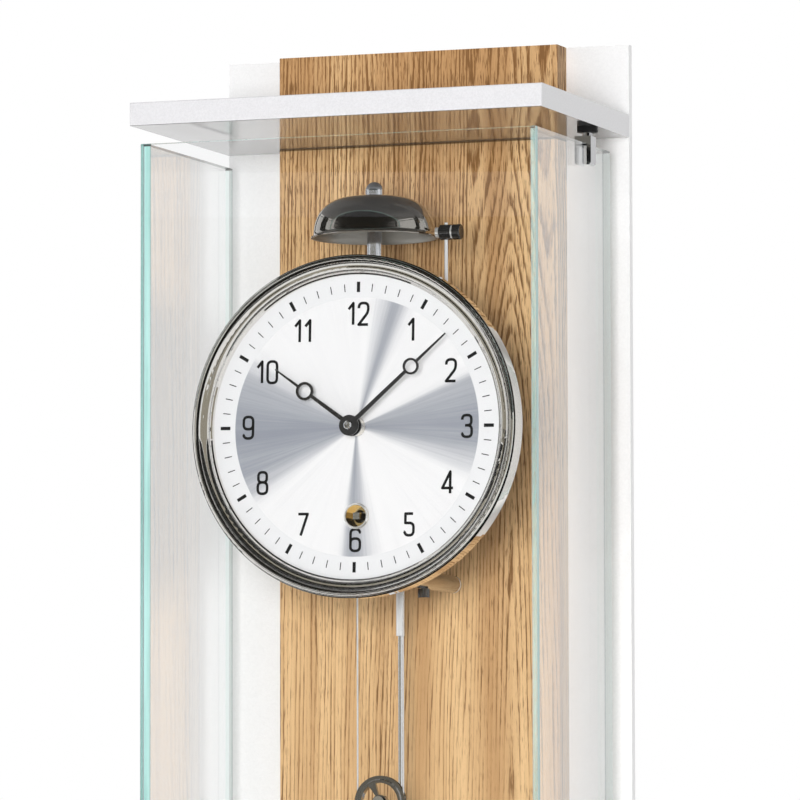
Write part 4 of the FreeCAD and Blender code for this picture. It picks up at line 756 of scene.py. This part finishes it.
def mesh_of(name: str, points: np.ndarray, quads: np.ndarray, smooth: bool) -> bpy.types.Mesh:
    """A mesh of quads.

    Args:
        name: its name.
        points: an (n, 3) array in millimetres.
        quads: an (m, 4) array of point numbers.
        smooth: whether its faces shade smoothly.

    Returns:
        The mesh, in metres.
    """
    mesh = bpy.data.meshes.new(name)
    mesh.vertices.add(len(points))
    mesh.vertices.foreach_set("co", (np.asarray(points, float) * MM).astype(np.float32).ravel())
    mesh.loops.add(quads.size)
    mesh.loops.foreach_set("vertex_index", quads.astype(np.int32).ravel())
    mesh.polygons.add(len(quads))
    mesh.polygons.foreach_set("loop_start", np.arange(0, quads.size, 4, dtype=np.int32))
    mesh.polygons.foreach_set("use_smooth", np.full(len(quads), smooth))
    mesh.update(calc_edges=True)
    mesh.validate()
    return mesh


def joined_grids(parts: Sequence[Grid]) -> Grid:
    """Several grids made one.

    Args:
        parts: the points and quads of each.

    Returns:
        All the points and all the quads.
    """
    starts = np.cumsum([0] + [len(points) for points, _ in parts[:-1]])
    points = np.concatenate([points for points, _ in parts])
    quads = np.concatenate([quads + start for (_, quads), start in zip(parts, starts)])
    return points, quads


def add_piece(mesh: bpy.types.Mesh, finish: Finish, body: Optional[str]) -> bpy.types.Object:
    """Put a new piece in the scene.

    Args:
        mesh: its mesh, in place.
        finish: its finish.
        body: the body that it rides on, or None to leave it without one.

    Returns:
        The piece.
    """
    piece = bpy.data.objects.new(mesh.name, mesh)
    bpy.context.scene.collection.objects.link(piece)
    mesh.materials.append(material_of(finish))
    if body is not None:
        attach(piece, body)
    LOG.info("piece %s: %d faces, finish %s", piece.name, len(mesh.polygons), finish.name)
    return piece


@dataclass
class SubAssembly:
    """A group of pieces: CAD nodes with their finishes, and new pieces where its kind adds any."""

    nodes: ClassVar[Mapping[str, Finish]] = {}

    def build(self) -> None:
        """Add the group's new pieces: none, unless its kind says otherwise."""

    def dress(self) -> None:
        """Give the group's CAD nodes their finishes."""
        for name, finish in self.nodes.items():
            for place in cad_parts[name].material_slots:
                place.material = material_of(finish)
            LOG.info("node %s: finish %s", name, finish.name)


@dataclass
class Case(SubAssembly):
    """The panel, the oak board, the shelves and the hanger."""

    nodes: ClassVar[Mapping[str, Finish]] = {
        "back_panel": PALE_SILVER, "oak_board": OAK, "upper_shelf": SILVER, "lower_shelf": SILVER,
        "hanger_plate": STEEL}


@dataclass
class GlassDoor(SubAssembly):
    """The three panes and their hinges."""

    nodes: ClassVar[Mapping[str, Finish]] = {
        "front_glass": FRONT_PANE, "left_glass": SIDE_PANE, "right_glass": SIDE_PANE, "hinge_clamps": DARK_CHROME,
        "hinge_pins": STEEL, "hinge_bushes": BUSH_BLACK}


class Stroke:
    """The middle line of a pen stroke, as points in millimetres."""

    curve_points: ClassVar[int] = 9
    least_mitre: ClassVar[float] = 0.35

    def __init__(self, points: np.ndarray, closed: bool = False) -> None:
        """Keep an (n, 2) array of points, and whether the line ends where it starts."""
        self.points = np.asarray(points, float)
        self.closed = closed

    @classmethod
    def bent(cls, corners: Sequence[Sequence[float]], rounds: Union[float, Sequence[float]],
             closed: bool = False) -> "Stroke":
        """A line through corners, each rounded by the curve c - a t (1 - s)^2 + b t s^2.

        Args:
            corners: the corners in order.
            rounds: how far from each corner its rounding starts, or one number for all.
            closed: whether the line ends where it starts.

        Returns:
            The stroke, for the unit vectors a into and b out of each corner c, with s from 0 to 1.
        """
        c = np.asarray(corners, float)
        turns = c if closed else c[1:-1]
        before = np.roll(c, 1, 0) if closed else c[:-2]
        after = np.roll(c, -1, 0) if closed else c[2:]
        into = turns - before
        out = after - turns
        into /= np.linalg.norm(into, axis=1, keepdims=True)
        out /= np.linalg.norm(out, axis=1, keepdims=True)
        start = np.broadcast_to(np.asarray(rounds, float), (len(turns),))[:, None, None]
        s = np.linspace(0.0, 1.0, cls.curve_points)[None, :, None]
        curve = turns[:, None] + start * (out[:, None] * s ** 2 - into[:, None] * (1.0 - s) ** 2)
        points = curve.reshape(-1, 2)
        return cls(points if closed else np.concatenate([c[:1], points, c[-1:]]), closed)

    def sides(self, width: float) -> tuple[np.ndarray, np.ndarray]:
        """The stroke's two sides, mitred: p +- w/2 (n1 + n2) / (1 + n1.n2) for the normals of its two runs.

        Args:
            width: the stroke's width.

        Returns:
            The left side and the right side.
        """
        p = self.points
        runs = np.roll(p, -1, 0) - p if self.closed else np.diff(p, axis=0)
        runs /= np.linalg.norm(runs, axis=1, keepdims=True)
        normals = np.stack([-runs[:, 1], runs[:, 0]], 1)
        if self.closed:
            after, before = normals, np.roll(normals, 1, 0)
        else:
            after = np.concatenate([normals, normals[-1:]])
            before = np.concatenate([normals[:1], normals])
        share = 1.0 + (before * after).sum(1, keepdims=True)
        lean = (before + after) / np.maximum(share, self.least_mitre) * (width / 2.0)
        return p + lean, p - lean


@dataclass
class Numerals:
    """Plain upright figures with squarish bows, each drawn with strokes in a box of its own."""

    height: float = 15.6
    width: float = 8.2
    weight: float = 1.78
    gap: float = 2.0
    sharp: float = 0.03

    def figure(self, digit: str) -> tuple[float, list[Stroke]]:
        """One figure.

        Args:
            digit: "0" to "9".

        Returns:
            Its width between the strokes' middle lines, and its strokes.
        """
        h = self.height - self.weight
        w = self.width - self.weight
        bow = 0.46 * w
        sharp = self.sharp
        waist = 0.53 * h
        bent = Stroke.bent
        drawn = {
            "0": (w, [bent(((0, 0), (w, 0), (w, h), (0, h)), bow, True)]),
            "1": (0.5 * w, [bent(((0, 0.72 * h), (0.5 * w, h), (0.5 * w, 0)), sharp)]),
            "2": (w, [bent(((0, 0.76 * h), (0, h), (w, h), (w, 0.58 * h), (0, 0), (w, 0)),
                           (bow, bow, 0.8 * bow, sharp))]),
            "3": (w, [bent(((0, 0.79 * h), (0, h), (0.95 * w, h), (0.95 * w, waist), (0.3 * w, waist)), bow * 0.9),
                      bent(((0.3 * w, waist), (w, waist), (w, 0), (0, 0), (0, 0.21 * h)), bow)]),
            "4": (1.12 * w, [bent(((0.82 * w, 0), (0.82 * w, h), (0, 0.25 * h), (1.12 * w, 0.25 * h)), sharp)]),
            "5": (0.94 * w, [bent(((0.88 * w, h), (0.08 * w, h), (0.08 * w, 0.57 * h), (0.94 * w, 0.57 * h),
                                   (0.94 * w, 0), (0, 0), (0, 0.2 * h)), (sharp, sharp, bow, bow, bow))]),
            "6": (w, [bent(((0, 0), (w, 0), (w, 0.57 * h), (0, 0.57 * h)), bow, True),
                      bent(((w, 0.8 * h), (w, h), (0, h), (0, 0.3 * h)), bow)]),
            "7": (w, [bent(((0, h), (w, h), (0.28 * w, 0)), sharp)]),
            "8": (w, [bent(((0.05 * w, waist), (0.95 * w, waist), (0.95 * w, h), (0.05 * w, h)), bow * 0.9, True),
                      bent(((0, 0), (w, 0), (w, waist), (0, waist)), bow, True)]),
            "9": (w, [bent(((0, 0.43 * h), (w, 0.43 * h), (w, h), (0, h)), bow, True),
                      bent(((w, 0.7 * h), (w, 0), (0, 0), (0, 0.2 * h)), bow)]),
        }
        return drawn[digit]

    def word(self, text: str) -> list[Stroke]:
        """A number's strokes, its box centred on the origin.

        Args:
            text: its digits.

        Returns:
            The strokes.
        """
        figures = [self.figure(digit) for digit in text]
        step = self.gap + self.weight
        total = sum(width for width, _ in figures) + step * (len(figures) - 1)
        strokes = []
        start = -total / 2.0
        for width, lines in figures:
            shift = np.array([start, -(self.height - self.weight) / 2.0])
            strokes += [Stroke(line.points + shift, line.closed) for line in lines]
            start += width + step
        return strokes


@dataclass
class ClockHead(SubAssembly):
    """The round head: pan, bezel, dial with its print, grommet, pillars and hands."""

    print_turn: float = 1.05
    print_height: float = 0.05
    hour_mark: Triple = (86.4, 93.1, 2.2)
    minute_mark: Triple = (87.0, 92.0, 0.6)
    numeral_places: ClassVar[Levels] = (
        (31.4, 71.3), (62.0, 72.8), (91.3, 75.0), (121.1, 72.3), (150.6, 72.7), (180.7, 72.4), (210.7, 71.8),
        (242.0, 72.8), (271.3, 74.0), (301.2, 71.3), (329.6, 72.5), (361.2, 72.4))
    nodes: ClassVar[Mapping[str, Finish]] = {
        "dial_pan": NICKEL, "bezel": SHADED_RIM_NICKEL, "dial": DIAL_FACE, "winding_grommet": WINDING_CUP,
        "standoff_pillars": PILLAR_STEEL, "pillar_screws": STEEL, "thumbscrews": SMOKED, "hour_hand": COLLETED_BLACK,
        "minute_hand": HAND_BLACK, "hand_nut": CHROME}

    def slab(self, left: np.ndarray, right: np.ndarray, closed: bool) -> Grid:
        """A flat strip of print between two sides, standing print_height off the dial.

        Args:
            left: one side, (x, z) from the dial's centre.
            right: the other side.
            closed: whether the strip is a ring.

        Returns:
            Its points and quads: the section left back, left front, right front, right back along the strip.
        """
        front = DIAL_CENTRE[1] - self.print_height
        section = [(left, DIAL_CENTRE[1]), (left, front), (right, front), (right, DIAL_CENTRE[1])]
        rows = [np.stack([side[:, 0], np.full(len(side), y), side[:, 1] + DIAL_CENTRE[2]], 1) for side, y in section]
        points = np.stack(rows, 1)
        quads = quads_of_grid(len(left), 4, closed, True)
        if not closed:
            last = 4 * (len(left) - 1)
            quads = np.concatenate([quads, [[0, 1, 2, 3], [last + 3, last + 2, last + 1, last]]])
        return points.reshape(-1, 3), quads

    def marks(self, angles: np.ndarray, size: Triple) -> list[Grid]:
        """Radial bars of print.

        Args:
            angles: clockwise angles, in radians.
            size: inner radius, outer radius and width.

        Returns:
            The points and quads of each bar.
        """
        inner, outer, width = size
        way = np.stack([np.sin(angles), np.cos(angles)], 1)
        side = np.stack([way[:, 1], -way[:, 0]], 1) * (width / 2.0)
        ends = np.stack([way * inner, way * outer], 1)
        return [self.slab(e - s, e + s, False) for e, s in zip(ends, side)]

    def build(self) -> None:
        """Print the figures and the minute track on the dial."""
        turn = math.radians(self.print_turn)
        minutes = np.arange(60)
        angles = minutes * (FULL_TURN / 60.0) + turn
        hours = minutes % 5 == 0
        bars = self.marks(angles[hours], self.hour_mark) + self.marks(angles[~hours], self.minute_mark)
        add_piece(mesh_of("minute_track", *joined_grids(bars), False), PRINT_BLACK, "case")
        figures = Numerals()
        spin = np.array([[math.cos(turn), -math.sin(turn)], [math.sin(turn), math.cos(turn)]])
        strips = []
        for hour, (degrees, radius) in enumerate(self.numeral_places, 1):
            angle = math.radians(degrees)
            centre = np.array([math.sin(angle), math.cos(angle)]) * radius
            for stroke in figures.word(str(hour)):
                left, right = stroke.sides(figures.weight)
                strips.append(self.slab(left @ spin + centre, right @ spin + centre, stroke.closed))
        add_piece(mesh_of("hour_numerals", *joined_grids(strips), False), PRINT_BLACK, "case")


@dataclass
class Movement(SubAssembly):
    """The plates, posts and wheels behind the dial."""

    nodes: ClassVar[Mapping[str, Finish]] = {
        **dict.fromkeys(("front_plate", "back_plate", "great_wheel", "intermediate_wheel", "centre_wheel",
                         "third_wheel", "escape_wheel", "minute_wheel", "hour_wheel", "cannon_pinion",
                         "barrel"), BRASS),
        **dict.fromkeys(("plate_posts", "plate_nuts", "movement_feet", "click", "intermediate_arbor",
                         "centre_arbor", "third_arbor", "escape_arbor", "anchor", "crutch", "suspension_cock",
                         "suspension_spring", "winding_arbor"), STEEL)}


@dataclass
class Strike(SubAssembly):
    """The bell and its hammer."""

    nodes: ClassVar[Mapping[str, Finish]] = {
        "bell": BELL_NICKEL, "bell_post": BRIGHT, "bell_finial": BRIGHT, "hammer_arbor": STEEL, "hammer_rod": SATIN,
        "hammer_head": HAMMER_BLACK}


@dataclass
class Pendulum(SubAssembly):
    """The pendulum's sleeve, rod, bob and nut."""

    nodes: ClassVar[Mapping[str, Finish]] = {
        "pendulum_sleeve": SATIN, "pendulum_rod": CHROME, "pendulum_bob": BRUSHED, "rating_nut": CHROME}


@dataclass
class WeightDrive(SubAssembly):
    """The weight on its pulley, and the stranded cable from the barrel round the pulley to its post."""

    cable_radius: float = 0.58
    strands: int = 6
    strand_depth: float = 0.12
    lay: float = 7.0
    around: int = 24
    line_y: float = -98.0
    barrel_z: float = -287.0
    barrel_radius: float = 16.2
    pulley_x: float = 0.6
    pulley_z: float = -468.4
    pulley_radius: float = 15.6
    post_z: float = -315.0
    turns: int = 6
    pitch: float = 1.7
    fall_points: int = 700
    winding_points: int = 900
    nodes: ClassVar[Mapping[str, Finish]] = {"pulley": GUNMETAL, "pulley_stirrup": CHROME, "weight": BRUSHED}

    def stranded(self, name: str, line: np.ndarray, run: np.ndarray, side: np.ndarray,
                 up: np.ndarray) -> bpy.types.Mesh:
        """A rope of strands along a line.

        At run s and angle t the radius is R (1 - d + d |cos(n (t - 2 pi s / lay) / 2)|) for n strands.

        Args:
            name: the mesh's name.
            line: the rope's middle line, an (n, 3) array.
            run: the length along it.
            side: a unit vector across the line at each point.
            up: the other unit vector across it.

        Returns:
            The mesh.
        """
        angle = np.linspace(0.0, FULL_TURN, self.around, endpoint=False)[None, :]
        lobe = np.abs(np.cos(0.5 * self.strands * (angle - FULL_TURN * run[:, None] / self.lay)))
        radius = self.cable_radius * (1.0 - self.strand_depth + self.strand_depth * lobe)
        beside = (radius * np.cos(angle))[..., None] * side[:, None, :]
        above = (radius * np.sin(angle))[..., None] * up[:, None, :]
        points = (line[:, None, :] + (beside + above)).reshape(-1, 3)
        return mesh_of(name, points, quads_of_grid(len(line), self.around, False, True), True)

    def falls(self) -> bpy.types.Mesh:
        """The cable's two falls and its half turn under the pulley.

        Returns:
            The mesh.
        """
        down = self.barrel_z - self.pulley_z
        half = math.pi * self.pulley_radius
        rise = self.post_z - self.pulley_z
        run = np.linspace(0.0, down + half + rise, self.fall_points)
        turn = np.clip((run - down) / self.pulley_radius, 0.0, math.pi)
        x = self.pulley_x + self.pulley_radius * np.cos(turn)
        z = self.pulley_z - self.pulley_radius * np.sin(turn)
        z = z + np.clip(down - run, 0.0, None) + np.clip(run - down - half, 0.0, None)
        line = np.stack([x, np.full_like(run, self.line_y), z], 1)
        side = np.stack([np.cos(turn), np.zeros_like(run), -np.sin(turn)], 1)
        up = np.tile((0.0, 1.0, 0.0), (len(run), 1))
        return self.stranded("drive_cable", line, run, side, up)

    def winding(self) -> bpy.types.Mesh:
        """The turns on the barrel: (r cos a, -pitch a / 2 pi, r sin a) about its axis.

        Returns:
            The mesh.
        """
        angle = np.linspace(0.0, FULL_TURN * self.turns, self.winding_points)
        rise = self.pitch / FULL_TURN
        side = np.stack([np.cos(angle), np.zeros_like(angle), np.sin(angle)], 1)
        axis = np.stack([0.0 * angle, self.line_y - rise * angle, 0.0 * angle + self.barrel_z], 1)
        line = side * self.barrel_radius + axis
        way = np.stack([-self.barrel_radius * np.sin(angle), np.full_like(angle, -rise),
                        self.barrel_radius * np.cos(angle)], 1)
        way /= np.linalg.norm(way, axis=1, keepdims=True)
        run = angle * math.hypot(self.barrel_radius, rise)
        return self.stranded("wound_cable", line, run, side, np.cross(way, side))

    def build(self) -> None:
        """Lay the cable."""
        falls = add_piece(self.falls(), CABLE_STEEL, None)
        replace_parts(falls, "cable")
        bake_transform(falls)
        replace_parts(add_piece(self.winding(), CABLE_STEEL, "barrel_set"), "cable_winding")


@dataclass
class Studio:
    """The camera, the lamps, the white room, the floor and the cards that metal and glass mirror, in metres."""

    camera_place: Place = (1.60419, -4.41685, -0.60531)
    lens: float = 323.18
    sensor: float = 36.0
    sight: float = 200.0
    yaw: float = 0.3527
    pitch: float = 0.0857
    roll: float = -0.0021
    room_level: float = 0.34
    floor_z: float = -1.45
    floor_half: float = 14.0
    floor_fade: Span = (0.7, 2.0)
    floor_tint: Colour = (0.82, 0.82, 0.82)
    card_centre: float = -0.3
    card_points: tuple[int, int] = (40, 12)
    lamps: ClassVar[tuple[tuple[str, Place, Place, float, float], ...]] = (
        ("key_lamp", (0.90, -4.2, -0.25), (0.0, -0.1, -0.35), 154.0, 1.1),
        ("left_lamp", (-3.2, -2.2, -0.2), (0.0, -0.1, -0.4), 18.0, 1.6),
        ("rear_lamp", (-2.4, 4.2, 0.6), (0.0, 0.0, -0.5), 70.0, 1.6))
    cards: ClassVar[tuple[tuple[str, Span, Span, float, Colour], ...]] = (
        ("upper_card", (-64.0, 64.0), (8.6, 80.0), 6.4, (0.006, 0.006, 0.006)),
        ("front_card", (-48.0, 40.0), (-18.0, 8.0), 6.4, (0.36, 0.335, 0.275)),
        ("left_card", (-106.0, -86.0), (-20.0, 40.0), 5.0, (0.02, 0.02, 0.02)),
        ("far_left_card", (-146.0, -130.0), (-40.0, 40.0), 5.0, (0.02, 0.02, 0.02)),
        ("right_card", (106.0, 116.0), (-40.0, 40.0), 5.0, (0.02, 0.02, 0.02)),
        ("low_card", (-75.0, 105.0), (-88.0, -30.0), 1.1, (0.03, 0.028, 0.025)))

    def camera(self) -> None:
        """Set the camera: it looks along (-sin yaw cos pitch, cos yaw cos pitch, sin pitch)."""
        data = bpy.data.cameras.new("camera")
        data.lens = self.lens
        data.sensor_width = self.sensor
        data.clip_end = self.sight
        camera = bpy.data.objects.new("camera", data)
        ahead = Vector((-math.sin(self.yaw) * math.cos(self.pitch), math.cos(self.yaw) * math.cos(self.pitch),
                        math.sin(self.pitch)))
        right = Vector((math.cos(self.yaw), math.sin(self.yaw), 0.0))
        up = right.cross(ahead)
        across = right * math.cos(self.roll) + up * math.sin(self.roll)
        upright = up * math.cos(self.roll) - right * math.sin(self.roll)
        turn = Matrix((across, upright, -ahead)).transposed().to_4x4()
        camera.matrix_world = Matrix.Translation(self.camera_place) @ turn
        bpy.context.scene.collection.objects.link(camera)
        bpy.context.scene.camera = camera

    def lamp(self, name: str, place: Place, target: Place, power: float, size: float) -> None:
        """Add a soft square lamp.

        Args:
            name: its name.
            place: where it stands.
            target: what it faces.
            power: its power, in watts.
            size: its side, in metres.
        """
        data = bpy.data.lights.new(name, "AREA")
        data.energy = power
        data.size = size
        lamp = bpy.data.objects.new(name, data)
        lamp.location = place
        lamp.rotation_euler = (Vector(target) - Vector(place)).to_track_quat("-Z", "Y").to_euler()
        lamp.visible_glossy = False
        bpy.context.scene.collection.objects.link(lamp)

    @staticmethod
    def looks(sheet: Sheet) -> tuple[Signal, ...]:
        """Whether the camera, a mirror or glass looks, one signal for each."""
        return tuple(sheet.node("ShaderNodeLightPath", output=f"Is {ray} Ray")
                     for ray in ("Camera", "Glossy", "Transmission"))

    def room(self) -> None:
        """A white room: full white where the camera, metal and glass look at it, dimmer as a lamp."""
        sheet = Sheet("room", Home.WORLD)
        seen = functools.reduce(Signal.most, self.looks(sheet))
        level = sheet.node("ShaderNodeMapRange", None, {"Value": seen, "To Min": self.room_level, "To Max": 1.0})
        background = sheet.node("ShaderNodeBackground", None, {"Color": WHITE, "Strength": level})
        bpy.context.scene.world = sheet.close(background)

    def sheet_object(self, name: str, points: np.ndarray, material: bpy.types.Material) -> bpy.types.Object:
        """A plain surface of the studio.

        Args:
            name: its name.
            points: a (rows, columns, 3) array in metres.
            material: its material.

        Returns:
            The object.
        """
        rows, columns = points.shape[:2]
        mesh = mesh_of(name, points.reshape(-1, 3) / MM, quads_of_grid(rows, columns, False, False), True)
        mesh.materials.append(material)
        made = bpy.data.objects.new(name, mesh)
        bpy.context.scene.collection.objects.link(made)
        return made

    def floor(self) -> None:
        """A pale floor that keeps the clock's shadow, and fades into the white room away from it."""
        sheet = Sheet("floor")
        x, y, _ = sheet.axes(sheet.place())
        far = (x * x + y * y).root().between(*self.floor_fade)
        seen, glossy, through = self.looks(sheet)
        pale = sheet.surface(Base_Color=self.floor_tint, Roughness=0.8)
        white = sheet.node("ShaderNodeEmission", None, {"Color": WHITE, "Strength": 1.0})
        material = sheet.close(sheet.either((seen * far).most(glossy).most(through), pale, white))
        side = np.array([-self.floor_half, self.floor_half])
        x, y = np.meshgrid(side, side, indexing="ij")
        self.sheet_object("floor", np.stack([x, y, np.full_like(x, self.floor_z)], -1), material)

    def card(self, name: str, azimuths: Span, heights: Span, radius: float, colour: Colour) -> None:
        """A card bowed round the clock like part of a ball, seen only where metal or glass mirrors it.

        Its points are r (sin a cos h, -cos a cos h, sin h) about the middle of the cards.

        Args:
            name: its name.
            azimuths: where it starts and ends, in degrees from the front towards the right.
            heights: its lower and upper edge, in degrees over the horizon.
            radius: how far away it stands.
            colour: how it shows.
        """
        columns, rows = self.card_points
        azimuth = np.radians(np.linspace(*azimuths, columns))[:, None]
        height = np.radians(np.linspace(*heights, rows))[None, :]
        way = np.stack(np.broadcast_arrays(np.sin(azimuth) * np.cos(height), -np.cos(azimuth) * np.cos(height),
                                           np.sin(height)), -1)
        sheet = Sheet(name)
        material = sheet.close(sheet.node("ShaderNodeEmission", None, {"Color": colour, "Strength": 1.0}))
        made = self.sheet_object(name, way * radius + np.array([0.0, 0.0, self.card_centre]), material)
        made.visible_camera = False
        made.visible_diffuse = False
        made.visible_transmission = False
        made.visible_shadow = False

    def build(self) -> None:
        """Set up the studio."""
        self.camera()
        self.room()
        self.floor()
        for lamp in self.lamps:
            self.lamp(*lamp)
        for card in self.cards:
            self.card(*card)
        bpy.context.scene.view_settings.view_transform = "Standard"


def main() -> None:
    """Build the scene."""
    logging.basicConfig(level=logging.INFO, format="%(name)s: %(message)s")
    Studio().build()
    groups = (Case(), GlassDoor(), ClockHead(), Movement(), Strike(), Pendulum(), WeightDrive())
    for group in groups:
        group.build()
    for group in groups:
        group.dress()


if __name__ == "__main__":
    main()
